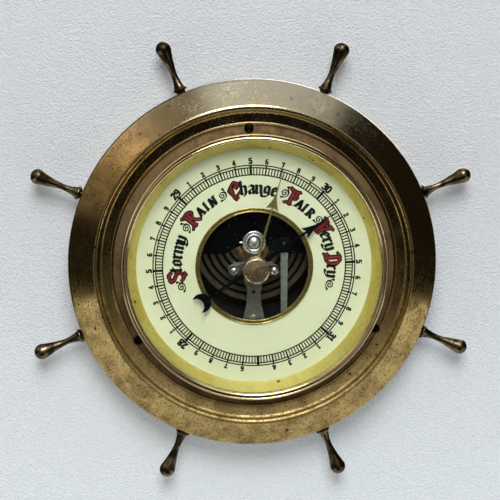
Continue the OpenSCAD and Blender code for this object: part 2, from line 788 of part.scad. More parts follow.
module leaf_plan() {
    difference() {
        polygon(concat(
            [[-clamp_half_w, clamp_y + clamp_d], [-clamp_half_w, clamp_y - 0.5]],
            [[-leaf_half_w, clamp_y - 11.5], [-leaf_half_w, leaf_low + 1]],
            arc([-leaf_half_w + 1, leaf_low + 1], 1, 1, 180, 270, 4),
            arc([leaf_half_w - 1, leaf_low + 1], 1, 1, 270, 360, 4),
            [[leaf_half_w, clamp_y - 11.5], [clamp_half_w, clamp_y - 0.5]],
            [[clamp_half_w, clamp_y + clamp_d]]
        ));
        translate([0, arch_top - arch_r]) circle(r = arch_r, $fn = 144);
    }
}

module at_clamp_screws() {
    for (side = [-1, 1])
        translate([side * clamp_half_w * 0.66, clamp_y + clamp_d / 2, 0]) children();
}

module main_spring() {
    color("midnightblue") stand() difference() {
        union() {
            translate([0, 0, leaf_z]) linear_extrude(leaf_t) leaf_plan();
            translate([0, capsule_y, leaf_z]) cylinder(r = post_r + 2.2, h = leaf_t);
        }
        translate([0, capsule_y, 0]) cylinder(r = post_r + rock + 0.1, h = through);
        at_clamp_screws() cylinder(r = screw_r + gap, h = through);
        translate([lever_x, foot_screw_y, 0]) cylinder(r = small_screw_r + fit, h = through);
    }
}

module spring_bridge() {
    w = clamp_half_w;
    h = leaf_z - rock - base_top;
    color("dimgray") stand() difference() {
        translate([-w, clamp_y, base_top]) cube([2 * w, clamp_d, h]);
        translate([-w * 0.42, clamp_y - 1, base_top - 1])
            cube([w * 0.84, clamp_d + 2, h * 0.6]);
        at_clamp_screws() translate([0, 0, leaf_z - screw_bite - 1])
            cylinder(r = screw_r + fit, h = through);
    }
}

module spring_clamp() {
    color("black") stand() difference() {
        translate([-clamp_half_w, clamp_y, clamp_z]) cube([2 * clamp_half_w, clamp_d, clamp_t]);
        at_clamp_screws() cylinder(r = screw_r + fit, h = through);
    }
}

module clamp_screws() {
    color("silver") stand() at_clamp_screws() translate([0, 0, clamp_top])
        round_screw(screw_head_r, screw_head_h, screw_r, clamp_top - leaf_z + screw_bite, 65);
}

// Long lever: a foot on the leaf and a straight arm down to the link

foot_screw_y = capsule_y - 1.2;
link_y = shaft_y - crank_len;
lever_end_y = link_y + 1.5;

module lever_arm() {
    top_y = foot_screw_y - foot_disc_r;
    color("gray") stand() difference() {
        translate([0, 0, lever_z]) linear_extrude(lever_t) polygon(concat(
            [[lever_x - lever_half_w, top_y], [lever_x - lever_tip_half_w, -lever_end_y + 1]],
            arc([lever_x, -lever_end_y + 1], lever_tip_half_w, 1, 180, 360, 8),
            [[lever_x + lever_tip_half_w, -lever_end_y + 1], [lever_x + lever_half_w, top_y]]
        ));
        translate([lever_x, -link_y, 0]) cylinder(r = link_r + fit, h = through);
    }
}

module lever_foot() {
    h = lever_z - leaf_top;
    y0 = foot_screw_y;
    color("darkslategray") stand() difference() {
        union() {
            translate([0, 0, leaf_top]) linear_extrude(h + lever_t) difference() {
                union() {
                    translate([lever_x, y0]) circle(r = foot_disc_r, $fn = 48);
                    polygon([
                        [lever_x, y0 + foot_disc_r], [boss_r + 1.4, y0 + 1],
                        [boss_r + 1.1, y0 - 2.4], [lever_x - 1, y0 - foot_disc_r + 0.1]
                    ]);
                }
                translate([lever_x - 5, y0 - foot_disc_r - 5]) square([10, 5 + fit]);
            }
            translate([lever_x - lever_half_w, y0 - foot_disc_r - tongue_len, lever_z + lever_t])
                cube([2 * lever_half_w, foot_disc_r + tongue_len, tongue_t]);
        }
        translate([lever_x, y0, 0]) cylinder(r = small_screw_r + fit, h = through);
    }
}

module lever_foot_screw() {
    color("slategray") stand() translate([lever_x, foot_screw_y, lever_z + lever_t + tongue_t])
        round_screw(1.5, 0.8, small_screw_r, tongue_t + lever_z + lever_t - leaf_z, 20);
}

module lever_link() {
    color("silver") stand() translate([lever_x, -link_y, 0]) {
        translate([0, 0, shaft_z - 0.7])
            cylinder(r = link_r, h = lever_z + lever_t + 0.5 - shaft_z + 0.7);
        translate([0, 0, lever_z - 0.6]) cylinder(r = link_r + 0.5, h = 0.6);
        translate([0, 0, lever_z + lever_t]) cylinder(r = link_r + 0.5, h = 0.5);
    }
}

// Rocking shaft: it turns the lever's small rise into a pull on the chain

bearing_left_x = -chain_x - 4.6;
bearing_right_x = lever_x + 5;
bearing_w = 2.4;
bearing_foot = 6;
bearing_screw_r = small_screw_r;
bearing_hole_y = shaft_y + 3.8;

module at_bearings() {
    for (x = [bearing_left_x, bearing_right_x]) translate([x, 0, 0]) children();
}

module rocking_shaft() {
    x0 = bearing_left_x - bearing_w / 2 - 0.5;
    x1 = bearing_right_x + bearing_w / 2 + 0.5;
    left_in = bearing_left_x + bearing_w / 2;
    right_in = bearing_right_x - bearing_w / 2;
    color("silver") stand() difference() {
        union() {
            translate([x0, -shaft_y, shaft_z]) rotate([0, 90, 0])
                cylinder(r = shaft_r, h = x1 - x0);
            // Crank that the link lifts
            translate([lever_x - 0.8, -shaft_y, shaft_z - 0.5]) cube([1.6, crank_len, 1]);
            translate([lever_x, -link_y, shaft_z - 0.5]) cylinder(r = link_r + 1.2, h = 1);
            // Arm that pulls the chain
            translate([-chain_x - 0.6, -shaft_y - 0.5, shaft_z]) cube([1.2, 1, chain_arm + 0.7]);
            // Collars that keep the shaft between its bearings
            for (x = [left_in + gap, right_in - gap - 0.8])
                translate([x, -shaft_y, shaft_z]) rotate([0, 90, 0])
                    cylinder(r = shaft_r + 0.5, h = 0.8);
        }
        translate([lever_x, -link_y, 0]) cylinder(r = link_r + 0.5, h = through);
        translate([-chain_x, -shaft_y - 5, chain_z]) rotate([-90, 0, 0])
            cylinder(r = chain_r + fit, h = 10);
    }
}

module shaft_bearings() {
    color("dimgray") stand() at_bearings() difference() {
        union() {
            translate([-bearing_w / 2, -shaft_y - bearing_foot, base_top])
                cube([bearing_w, bearing_foot + 1.8, 1]);
            translate([-bearing_w / 2, -shaft_y - 1.8, base_top]) cube([bearing_w, 3.6, shaft_up]);
            translate([-bearing_w / 2, -shaft_y, shaft_z]) rotate([0, 90, 0])
                cylinder(r = 1.8, h = bearing_w);
        }
        translate([-bearing_w, -shaft_y, shaft_z]) rotate([0, 90, 0])
            cylinder(r = shaft_r + fit, h = 2 * bearing_w);
        translate([0, -bearing_hole_y, 0]) cylinder(r = bearing_screw_r + fit, h = through);
    }
}

module bearing_screws() {
    color("silver") stand() at_bearings() translate([0, -bearing_hole_y, base_top + 1])
        round_screw(1.1, 0.7, bearing_screw_r, 1 + base_t, 45);
}

// Chain from the rocking shaft to the roller on the arbor

module chain() {
    dx = chain_x - roller_r - chain_r;
    len_c = norm([dx, shaft_y]);
    color("black") stand() translate([-chain_x, -shaft_y, chain_z])
        rotate([0, 0, -atan2(dx, shaft_y)]) rotate([-90, 0, 0]) cylinder(r = chain_r, h = len_c);
}

// Arbor with its roller and the hairspring's collet, between a rear bar and a front plate

module arbor() {
    color("silver") stand() rotate_extrude($fn = 48) polygon([
        [0, rear_bar_z + 0.1], [arbor_r, rear_bar_z + 0.1], [arbor_r, roller_z],
        [roller_r + 0.5, roller_z], [roller_r + 0.5, roller_z + 0.35], [roller_r, roller_z + 0.35],
        [roller_r, roller_z + roller_h - 0.35], [roller_r + 0.5, roller_z + roller_h - 0.35],
        [roller_r + 0.5, roller_z + roller_h], [arbor_r, roller_z + roller_h],
        [arbor_r, strap_top + 0.2], [hair_collet_r, strap_top + 0.2],
        [hair_collet_r, wing_z - 0.2], [arbor_r, wing_z - 0.2],
        [arbor_r, hub_top + 0.1], [0, hub_top + 0.1]
    ]);
}

module at_wings() {
    for (side = [-1, 1]) translate([side * wing_x, -wing_y, 0]) children();
}

// Bow-tie plate with a lug round each side screw
module bow_tie(waist, rise, h) {
    in_x = wing_x - 0.6;
    up = -wing_y + lug_r * 0.9;
    down = -wing_y - lug_r * 0.9;
    linear_extrude(h) polygon([
        [0, rise], [in_x, up], [in_x, down], [0, -wing_y - waist], [-in_x, down], [-in_x, up]
    ]);
    at_wings() cylinder(r = lug_r, h = h, $fn = 48);
    cylinder(r = rise + 0.3, h = h, $fn = 48);
}

module arbor_rear_bar() {
    color("slategray") stand() difference() {
        translate([0, 0, rear_bar_z]) linear_extrude(rear_bar_t) union() {
            for (side = [-1, 1]) translate([side * wing_x, -wing_y]) circle(r = lug_r, $fn = 48);
            translate([-wing_x, -wing_y - 1]) square([2 * wing_x, wing_y + 2]);
        }
        cylinder(r = arbor_r + fit, h = through);
        at_wings() cylinder(r = small_screw_r + fit, h = through);
    }
}

// Strap: waisted between its foot and the plates' side screws
module strap_plan() {
    foot_y = -strap_screw_y - 3.2;
    waist_y = -strap_screw_y * 0.58;
    head_y = -wing_y - 1.5;
    half = concat(
        [for (i = [0:6])
            let (t = i / 6)
            [strap_foot + (strap_waist - strap_foot) * smooth(t), foot_y + (waist_y - foot_y) * t]],
        [for (i = [1:6])
            let (t = i / 6)
            [strap_waist + (strap_foot + 0.6 - strap_waist) * t * t, waist_y + (head_y - waist_y) * t]]
    );
    polygon(concat(half, [for (i = [len(half) - 1:-1:0]) [-half[i][0], half[i][1]]]));
}

module arbor_strap() {
    color("gray") stand() difference() {
        translate([0, 0, strap_z]) union() {
            linear_extrude(strap_t) strap_plan();
            bow_tie(lug_r, 2.2, strap_t);
        }
        cylinder(r = arbor_r + 0.6, h = through);
        at_wings() cylinder(r = small_screw_r + fit, h = through);
        translate([0, -wing_y - 9.6, 0]) cylinder(r = 0.75, h = through);
        translate([0, -strap_screw_y, 0]) cylinder(r = screw_r + fit, h = through);
    }
}

module strap_post() {
    color("silver") stand() translate([0, -strap_screw_y, 0]) difference() {
        union() {
            translate([0, 0, base_top]) cylinder(r = strap_post_r, h = strap_z - base_top);
            translate([0, 0, base_z]) cylinder(r = strap_post_r * 0.6, h = base_t + 1);
        }
        translate([0, 0, strap_z - screw_bite - 0.4]) cylinder(r = screw_r + fit, h = through);
    }
}

module strap_screw() {
    color("dimgray") stand() translate([0, -strap_screw_y, strap_top])
        round_screw(screw_head_r, screw_head_h, screw_r, strap_t + screw_bite, 10);
}

module wing_plate() {
    color("lightgray") stand() difference() {
        translate([0, 0, wing_z]) bow_tie(lug_r * 0.7, 2.4, strap_t);
        cylinder(r = arbor_r + fit, h = through);
        at_wings() cylinder(r = small_screw_r + fit, h = through);
    }
}

module wing_pillars() {
    color("silver") stand() at_wings() {
        translate([0, 0, strap_top]) ring(small_screw_r + fit, 1.5, wing_z - strap_top);
        translate([0, 0, rear_bar_z + rear_bar_t])
            ring(small_screw_r + fit, 1.5, strap_z - rear_bar_z - rear_bar_t);
    }
}

module wing_screws() {
    color("white") stand() at_wings() translate([0, 0, wing_top])
        round_screw(wing_head_r, screw_head_h, small_screw_r, wing_top - rear_bar_z, 5);
}

// Hairspring: a flat spiral between the strap and the front plate

module hairspring() {
    r0 = hair_collet_r + 0.02 + hair_t / 2;
    n = hair_turns * 20;
    pitch = (hair_r - r0) / hair_turns;
    side_points = function (w) [for (i = [0:n])
        let (a = 360 * hair_turns * i / n, r = r0 + pitch * a / 360 + w)
        [r * cos(a), r * sin(a)]];
    outer = side_points(hair_t / 2);
    inner = side_points(-hair_t / 2);
    color("steelblue") stand() translate([0, 0, strap_top + 0.3]) linear_extrude(0.6)
        polygon(concat(outer, [for (i = [n:-1:0]) inner[i]]));
}

module hairspring_stud() {
    color("silver") stand() translate([hair_r, 0, strap_top]) difference() {
        cylinder(r = 0.7, h = 1.1);
        // Slot along the spring's last turn
        translate([-hair_t, -1, 0.2]) cube([hair_t * 1.6, 2, 0.8]);
    }
}

// Hands

// One side of an arrowhead, from its base corner to the tip
function arrow_side(base_y, half_w, neck_y, tip_y) = concat(
    [for (i = [0:8])
        let (t = i / 8, left = pow(1 - t, 1.4))
        [half_w * left + 0.3 * (1 - left), base_y + (neck_y - base_y) * t]],
    [[0.12, tip_y]]
);

function mirrored(p) = concat(p, [for (i = [len(p) - 1:-1:0]) [-p[i][0], p[i][1]]]);

module indicating_plan() {
    union() {
        polygon(mirrored(concat(
            [[0.7, -25.4], [0.95, 0], [0.5, 27.6], [1.5, 27]],
            arrow_side(26.2, 2.75, 34.5, hand_len)
        )));
        circle(r = hub_r + 1, $fn = 48);
        difference() {
            translate([0, -28.4]) circle(r = 4.25, $fn = 64);
            translate([0, -31.15]) circle(r = 3.45, $fn = 64);
        }
    }
}

module indicating_hand() {
    color("black") stand() rotate([0, 0, -hand_angle]) difference() {
        translate([0, 0, hand_z]) linear_extrude(hand_t) indicating_plan();
        cylinder(r = hub_r + fit, h = 60);
    }
}

module hand_hub() {
    color("darkslategray") stand() rotate_extrude($fn = 48) polygon([
        [arbor_r + 0.01, hand_z - 0.9], [hub_r + 0.6, hand_z - 0.9], [hub_r + 0.6, hand_z],
        [hub_r, hand_z], [hub_r, hub_top - 0.2], [hub_r - 0.2, hub_top],
        [arbor_r + 0.01, hub_top]
    ]);
}

module set_plan() {
    union() {
        polygon(mirrored(concat(
            [[0.8, 0], [0.3, 27.4], [1.6, 27.2]],
            arrow_side(26.6, 2.9, 33.6, set_len)
        )));
        circle(r = collet_r + 0.4, $fn = 48);
    }
}

module set_hand() {
    z0 = set_collet_z;
    color("olive") stand() rotate([0, 0, -set_angle]) difference() {
        union() {
            translate([0, 0, z0 + 0.4]) linear_extrude(hand_t) set_plan();
            translate([0, 0, z0]) cylinder(r = collet_r, h = collet_h - 0.02);
        }
        cylinder(r = set_shaft_r + 0.02, h = 60);
    }
}

module set_hand_nut() {
    color("goldenrod") stand() translate([0, 0, set_collet_z - set_nut_h])
        hex_nut(set_shaft_r + 0.9, set_shaft_r + 0.02, set_nut_h);
}

module set_shaft() {
    z0 = set_collet_z - set_nut_h;
    color("goldenrod") stand() translate([0, 0, z0])
        cylinder(r = set_shaft_r, h = knob_z + knob_h * 0.5 - z0);
}

module friction_washer() {
    color("gold") stand() translate([0, 0, glass_top + fit / 2])
        ring(set_shaft_r + 0.1, knob_neck_r + 0.8, washer_t - fit / 2);
}

module set_knob() {
    r = knob_r;
    z1 = knob_z + knob_h;
    color("peru") stand() difference() {
        rotate_extrude($fn = 96) polygon(concat(
            [[0, glass_top + washer_t], [knob_neck_r, glass_top + washer_t], [knob_neck_r, knob_z]],
            [[r - 0.5, knob_z], [r, knob_z + 0.5]],
            arc([r - 1.3, z1 - 1.4], 1.3, 1.2, 0, 70, 6),
            arc([0, z1 - 1.4], r - 0.8, 1.4, 64, 90, 4)
        ));
        translate([0, 0, glass_top - 1])
            cylinder(r = set_shaft_r + 0.02, h = knob_z + knob_h * 0.5 - glass_top + 1.02);
    }
}

// Adjusting screw behind the capsule, reached through the back of the case

module adjusting_screw() {
    head_r = min(access_r - 0.4, 2.8);
    color("silver") at_capsule() difference() {
        union() {
            translate([0, 0, base_z - 0.9]) cylinder(r = head_r, h = 0.85);
            translate([0, 0, base_z - 0.1]) cylinder(r = post_r, h = base_top - base_z + 0.9);
        }
        translate([-head_r - 1, -0.4, base_z - 1]) cube([2 * head_r + 2, 0.8, 0.5]);
    }
}

wheel_rim();
handle(1);  // handle_1
handle(2);  // handle_2
handle(3);  // handle_3
handle(4);  // handle_4
handle(5);  // handle_5
handle(6);  // handle_6
handle(7);  // handle_7
handle(8);  // handle_8
handle_nuts();
movement_case();
case_screws();
case_nuts();
hanging_bracket();
bracket_rivets();
bezel();
glass();
reflector_ring();
dial();
hole_trim_ring();
dial_pillars();
base_plate();
base_screws();
capsule_rear();
capsule_diaphragm();
capsule_cup();
capsule_post();
boss_nut();
boss_pin();
main_spring();
spring_bridge();
spring_clamp();
clamp_screws();
lever_arm();
lever_foot();
lever_foot_screw();
lever_link();
rocking_shaft();
shaft_bearings();
bearing_screws();
chain();
arbor();
hairspring();
hairspring_stud();
arbor_rear_bar();
arbor_strap();
strap_post();
strap_screw();
wing_plate();
wing_pillars();
wing_screws();
indicating_hand();
hand_hub();
adjusting_screw();
set_knob();
set_shaft();
friction_washer();
set_hand();
set_hand_nut();
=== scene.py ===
"""A brass ship's wheel aneroid barometer on a pale wall.

Lengths are written in millimetres and turned into metres by MM. x is to the right, z is up and
the dial faces -y, so a height in front of the wall is a negative y.
"""

import math

import bmesh
import bpy
from mathutils import Matrix, Vector


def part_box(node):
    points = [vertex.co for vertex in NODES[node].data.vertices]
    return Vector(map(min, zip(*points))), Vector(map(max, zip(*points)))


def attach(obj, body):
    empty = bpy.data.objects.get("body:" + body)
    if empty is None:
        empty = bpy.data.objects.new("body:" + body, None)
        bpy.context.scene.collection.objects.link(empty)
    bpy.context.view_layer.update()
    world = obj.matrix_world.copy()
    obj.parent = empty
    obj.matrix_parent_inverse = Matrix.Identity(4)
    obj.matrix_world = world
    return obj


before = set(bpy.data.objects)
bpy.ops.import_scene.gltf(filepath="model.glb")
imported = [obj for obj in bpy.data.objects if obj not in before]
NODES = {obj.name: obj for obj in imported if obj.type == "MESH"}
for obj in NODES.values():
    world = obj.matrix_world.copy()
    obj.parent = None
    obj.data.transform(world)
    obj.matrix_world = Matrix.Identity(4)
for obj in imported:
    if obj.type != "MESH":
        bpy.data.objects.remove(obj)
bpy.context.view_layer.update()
MM = 0.001

# Height of the dial's face in front of the wall, read from the solid, and the thickness of its ink
DIAL_FACE = -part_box("dial")[0].y / MM
INK = 0.03

# Settings that many nodes share
SMOOTH = {"interpolation_type": "SMOOTHSTEP"}
COLOURS = {"data_type": "RGBA"}
PLUS = {"operation": "ADD"}
LESS = {"operation": "SUBTRACT"}
TIMES = {"operation": "MULTIPLY"}
TIMES_PLUS = {"operation": "MULTIPLY_ADD"}

# Materials


def srgb(text):
    """A linear colour from an sRGB hex value."""
    parts = [int(text[i : i + 2], 16) / 255 for i in (1, 3, 5)]
    return [p / 12.92 if p < 0.04045 else ((p + 0.055) / 1.055) ** 2.4 for p in parts] + [1.0]


def add(tree, kind, settings=None, **inputs):
    """Adds a node with its settings, input values and links. An input is named, or numbered as i0, i1."""
    made = tree.nodes.new(kind)
    for key, value in (settings or {}).items():
        if key == "stops":
            elements = made.color_ramp.elements
            elements.remove(elements[1])
            for at, colour in value:
                stop = elements[0] if at == value[0][0] else elements.new(at)
                stop.position = at
                stop.color = srgb(colour) if isinstance(colour, str) else [colour] * 3 + [1]
        else:
            setattr(made, key, value)
    for key, value in inputs.items():
        numbered = key[0] == "i" and key[1:].isdigit()
        socket = made.inputs[int(key[1:])] if numbered else made.inputs[key.replace("_", " ")]
        if isinstance(value, bpy.types.NodeSocket):
            tree.links.new(value, socket)
        else:
            socket.default_value = value
    return made


def blank(name):
    """A material with its node tree, its shader and the object's own coordinates."""
    made = bpy.data.materials.new(name)
    made.use_nodes = True
    tree = made.node_tree
    shader = tree.nodes["Principled BSDF"]
    place = add(tree, "ShaderNodeTexCoord").outputs["Object"]
    return made, tree, shader, place


def per_metre(mm):
    """A texture scale whose features are about this many millimetres."""
    return 1 / (mm * MM)


def aged_metal(
    name,
    clean,
    tarnish,
    dirt,
    patch_mm=14,
    cover=(0.42, 0.62),
    gloss=(0.22, 0.4),
    grain=None,
    grain_mm=0.35,
    grain_depth=0.15,
    speck=0.35,
    speck_mm=0.9,
    speck_from=0.56,
    blush=None,
    spots=None,
):
    """Bare or lacquered metal that has tarnished in clouds, with specks of corrosion and tool marks.

    clean, tarnish and dirt are colours. patch_mm is the size of a cloud, cover says where the clouds
    begin and end, and gloss is the roughness of clean and of tarnished metal. grain is "spun" for rings
    round the wheel's axis, as a lathe leaves, or a vector that stretches brush marks. grain_mm is how far
    apart they lie, drawn coarser than real tool marks so that they show, and grain_depth how deep. speck
    is how strong the specks are, speck_mm their size, and a lower speck_from gives more of them. blush is
    the colour of a bloom. spots is the distance in mm between single dark corrosion spots.
    """
    made, tree, shader, place = blank(name)
    clouds = add(
        tree,
        "ShaderNodeTexNoise",
        Vector=place,
        Scale=per_metre(patch_mm),
        Detail=7,
        Roughness=0.62,
        Distortion=0.5,
    ).outputs["Fac"]
    cloud = add(
        tree, "ShaderNodeMapRange", SMOOTH, Value=clouds, From_Min=cover[0], From_Max=cover[1]
    ).outputs[0]
    colour = add(tree, "ShaderNodeMix", COLOURS, i0=cloud, i6=srgb(clean), i7=srgb(tarnish)).outputs[2]
    if blush:
        # A pink or coppery bloom in some places, where the zinc has gone from the surface
        bloom = add(
            tree,
            "ShaderNodeTexNoise",
            Vector=place,
            Scale=per_metre(patch_mm * 1.7),
            Detail=4,
            Roughness=0.55,
            Distortion=1.2,
        ).outputs["Fac"]
        bloom = add(
            tree, "ShaderNodeMapRange", SMOOTH, Value=bloom, From_Min=0.5, From_Max=0.7, To_Max=0.55
        ).outputs[0]
        colour = add(tree, "ShaderNodeMix", COLOURS, i0=bloom, i6=colour, i7=srgb(blush)).outputs[2]
    specks = add(
        tree, "ShaderNodeTexNoise", Vector=place, Scale=per_metre(speck_mm), Detail=3, Roughness=0.7
    ).outputs["Fac"]
    specks = add(
        tree,
        "ShaderNodeMapRange",
        SMOOTH,
        Value=specks,
        From_Min=speck_from,
        From_Max=speck_from + 0.14,
        To_Max=speck,
    ).outputs[0]
    colour = add(tree, "ShaderNodeMix", COLOURS, i0=specks, i6=colour, i7=srgb(dirt)).outputs[2]
    if spots:
        # The spots are larger where the metal is tarnished
        cells = add(tree, "ShaderNodeTexVoronoi", Vector=place, Scale=per_metre(spots), Randomness=1.0)
        near = add(
            tree, "ShaderNodeMath", TIMES_PLUS, i0=clouds, i1=-0.14, i2=cells.outputs["Distance"]
        ).outputs[0]
        near = add(
            tree,
            "ShaderNodeMapRange",
            SMOOTH,
            Value=near,
            From_Min=-0.01,
            From_Max=0.04,
            To_Min=0.85,
            To_Max=0.0,
        ).outputs[0]
        colour = add(tree, "ShaderNodeMix", COLOURS, i0=near, i6=colour, i7=srgb(dirt)).outputs[2]
    rough = add(tree, "ShaderNodeMapRange", Value=cloud, To_Min=gloss[0], To_Max=gloss[1]).outputs[0]
    rough = add(tree, "ShaderNodeMath", TIMES_PLUS, i0=specks, i1=0.25, i2=rough).outputs[0]
    height = specks
    if grain == "spun":
        flat = add(tree, "ShaderNodeVectorMath", TIMES, i0=place, i1=(1, 0, 1)).outputs[0]
        radius = add(tree, "ShaderNodeVectorMath", {"operation": "LENGTH"}, i0=flat).outputs["Value"]
        marks = add(
            tree,
            "ShaderNodeTexNoise",
            {"noise_dimensions": "1D"},
            W=radius,
            Scale=per_metre(grain_mm),
            Detail=2,
            Roughness=0.8,
        ).outputs["Fac"]
    elif grain:
        along = add(tree, "ShaderNodeMapping", Vector=place, Scale=grain).outputs[0]
        marks = add(
            tree, "ShaderNodeTexNoise", Vector=along, Scale=per_metre(grain_mm), Detail=3, Roughness=0.7
        ).outputs["Fac"]
    if grain:
        rough = add(tree, "ShaderNodeMath", TIMES_PLUS, i0=marks, i1=0.16, i2=rough).outputs[0]
        rough = add(tree, "ShaderNodeMath", LESS, i0=rough, i1=0.08).outputs[0]
        height = add(
            tree, "ShaderNodeMath", TIMES_PLUS, i0=marks, i1=grain_depth * 4, i2=height
        ).outputs[0]
    bump = add(tree, "ShaderNodeBump", Strength=0.35, Distance=0.00002, Height=height).outputs[0]
    for socket, value in (("Base Color", colour), ("Roughness", rough), ("Normal", bump)):
        tree.links.new(value, shader.inputs[socket])
    shader.inputs["Metallic"].default_value = 1.0
    return made


def reach(tree, axis, begins, full, most):
    """How far the surface lies from one place on an axis to another, from 0 up to most."""
    place = add(tree, "ShaderNodeTexCoord").outputs["Object"]
    at = add(tree, "ShaderNodeSeparateXYZ", Vector=place).outputs[axis]
    return add(
        tree, "ShaderNodeMapRange", Value=at, From_Min=begins, From_Max=full, To_Max=most
    ).outputs[0]


def matted(material, axis, begins, full, most):
    """Makes a metal rougher from one place on an axis to another, where its lacquer has gone."""
    tree = material.node_tree
    shader = tree.nodes["Principled BSDF"]
    under = shader.inputs["Roughness"].links[0].from_socket
    amount = reach(tree, axis, begins, full, most)
    rough = add(tree, "ShaderNodeMath", PLUS, i0=under, i1=amount).outputs[0]
    tree.links.new(rough, shader.inputs["Roughness"])


def settled(material, axis, begins, full, colour, most):
    """Lays a second colour over a metal from one place on an axis to another: painted shade in grooves, a
    painted sheen on the rim's top, and the bright tongue of the lever's foot.
    """
    tree = material.node_tree
    shader = tree.nodes["Principled BSDF"]
    under = shader.inputs["Base Color"].links[0].from_socket
    amount = reach(tree, axis, begins, full, most)
    mixed = add(tree, "ShaderNodeMix", COLOURS, i0=amount, i6=under, i7=srgb(colour)).outputs[2]
    tree.links.new(mixed, shader.inputs["Base Color"])


# Spun sheet brass, once lacquered: gold where hands polish it, brown clouds, coppery bloom, fine
# rings from the spinning lathe 0.45 mm apart
RIM_BRASS = aged_metal(
    "spun_sheet_brass_old_lacquer",
    "#C4AE76",
    "#8E7B4C",
    "#1E180E",
    patch_mm=9,
    cover=(0.36, 0.7),
    gloss=(0.1, 0.22),
    grain="spun",
    grain_mm=0.45,
    grain_depth=0.06,
    speck=0.6,
    speck_mm=0.9,
    speck_from=0.5,
    blush="#AE8E6C",
    spots=9,
)
# Towards its top the colour turns greyer: partly a dusty film on the lacquer, partly a painted sheen, the
# grey of the ceiling's reflection there
settled(RIM_BRASS, "Z", 45 * MM, 85 * MM, "#BAB3A2", 0.7)
# Below, the lacquer has gone and the brass is matt
matted(RIM_BRASS, "Z", -18 * MM, -55 * MM, 0.3)
# Bar brass turned on a lathe and left to darken almost to black, worn bright on the high spots
HANDLE_BRASS = aged_metal(
    "turned_bar_brass_dark_patina",
    "#72674F",
    "#2E281E",
    "#100D08",
    patch_mm=4.5,
    cover=(0.4, 0.6),
    gloss=(0.2, 0.34),
    grain="spun",
    grain_mm=0.3,
    grain_depth=0.12,
    speck=0.45,
    speck_mm=0.5,
)
# Drawn sheet brass of the case, dull and brown, never polished
CASE_BRASS = aged_metal(
    "drawn_sheet_brass_dull",
    "#9C8464",
    "#705C44",
    "#241A12",
    patch_mm=16,
    gloss=(0.4, 0.55),
    grain=(0.15, 1, 0.15),
    grain_mm=0.3,
    speck=0.5,
    speck_mm=0.6,
)
# Turned and polished brass of the bezel, pale and clean
BEZEL_BRASS = aged_metal(
    "turned_polished_brass",
    "#E3D3A6",
    "#B9A36E",
    "#4A3B22",
    patch_mm=9,
    cover=(0.5, 0.75),
    gloss=(0.12, 0.24),
    grain="spun",
    grain_mm=0.25,
    grain_depth=0.08,
    speck=0.4,
    speck_mm=0.5,
)
# Spun brass cone behind the glass, bright yellow under its lacquer, with brown stain spots
CONE_BRASS = aged_metal(
    "spun_yellow_brass_cone",
    "#E4D486",
    "#D6C26E",
    "#4E401A",
    patch_mm=14,
    gloss=(0.42, 0.52),
    grain="spun",
    grain_mm=0.3,
    grain_depth=0.04,
    speck=0.35,
    speck_mm=1.0,
    spots=9,
)
# Turned brass of the trim ring and the small fittings, lacquer gone dull
TURNED_BRASS = aged_metal(
    "turned_brass_fittings",
    "#C2B274",
    "#948350",
    "#3A2C14",
    patch_mm=8,
    gloss=(0.24, 0.32),
    grain="spun",
    grain_mm=0.2,
    grain_depth=0.05,
    speck=0.2,
    speck_mm=0.4,
)
# The knob's end, handled for decades: brown stains in small clouds
KNOB_BRASS = aged_metal(
    "turned_brass_knob_handled",
    "#DCCDA4",
    "#7C6E56",
    "#3C3026",
    patch_mm=2.2,
    cover=(0.4, 0.6),
    gloss=(0.26, 0.42),
    grain="spun",
    grain_mm=0.22,
    grain_depth=0.08,
    speck=0.45,
    speck_mm=0.4,
)
# Thin brass sheet of the set hand, lacquered olive gold
SET_HAND_BRASS = aged_metal(
    "stamped_brass_hand",
    "#A0955A",
    "#7C7240",
    "#4A4226",
    patch_mm=4,
    gloss=(0.35, 0.48),
    grain=(1, 1, 0.1),
    grain_mm=0.15,
    grain_depth=0.1,
    speck=0.2,
    speck_mm=0.4,
)
# Turned and plated steel of screws, posts and plates, bright as a mirror with a few dull clouds
BRIGHT_STEEL = aged_metal(
    "turned_bright_steel",
    "#E2E4E6",
    "#B8BABB",
    "#6A6862",
    patch_mm=3.5,
    gloss=(0.14, 0.26),
    speck=0.12,
    speck_mm=0.4,
)
# The round nut's face, with painted shade in the two grooves turned in it
NUT_STEEL = aged_metal(
    "turned_steel_round_nut",
    "#F4F5F5",
    "#D8D9D9",
    "#6A6862",
    patch_mm=5,
    gloss=(0.24, 0.32),
    speck=0.1,
    speck_mm=0.5,
)
NUT_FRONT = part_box("boss_nut")[0].y
# Painted shade: the steel turns dark from just behind the ring of the face, in the grooves and on all of the
# nut that lies deeper
settled(NUT_STEEL, "Y", NUT_FRONT + 1.15 * MM, NUT_FRONT + 1.4 * MM, "#2E2D2A", 0.75)
# Cold rolled steel strip of the lever, brushed along its length
GREY_STEEL = aged_metal(
    "rolled_grey_steel",
    "#B6BAB6",
    "#919591",
    "#3A3936",
    patch_mm=4,
    gloss=(0.34, 0.5),
    grain=(1, 1, 0.05),
    grain_mm=0.12,
    grain_depth=0.12,
    speck=0.3,
    speck_mm=0.4,
)
# Oxidised steel of the strap and its screw, dark and satin
DARK_STEEL = aged_metal(
    "oxidised_steel_strap",
    "#A5A498",
    "#7E7D74",
    "#23211D",
    patch_mm=4,
    gloss=(0.34, 0.48),
    grain=(1, 1, 0.08),
    grain_mm=0.14,
    grain_depth=0.12,
    speck=0.3,
    speck_mm=0.4,
)
# Hardened leaf spring with a black oil finish and specks of dust
SPRING_STEEL = aged_metal(
    "oil_blackened_spring_steel",
    "#15171B",
    "#0C0D10",
    "#9AA6B4",
    patch_mm=6,
    gloss=(0.32, 0.5),
    grain=(0.06, 1, 1),
    grain_mm=0.2,
    grain_depth=0.15,
    speck=0.02,
    speck_mm=0.6,
    spots=2.3,
)
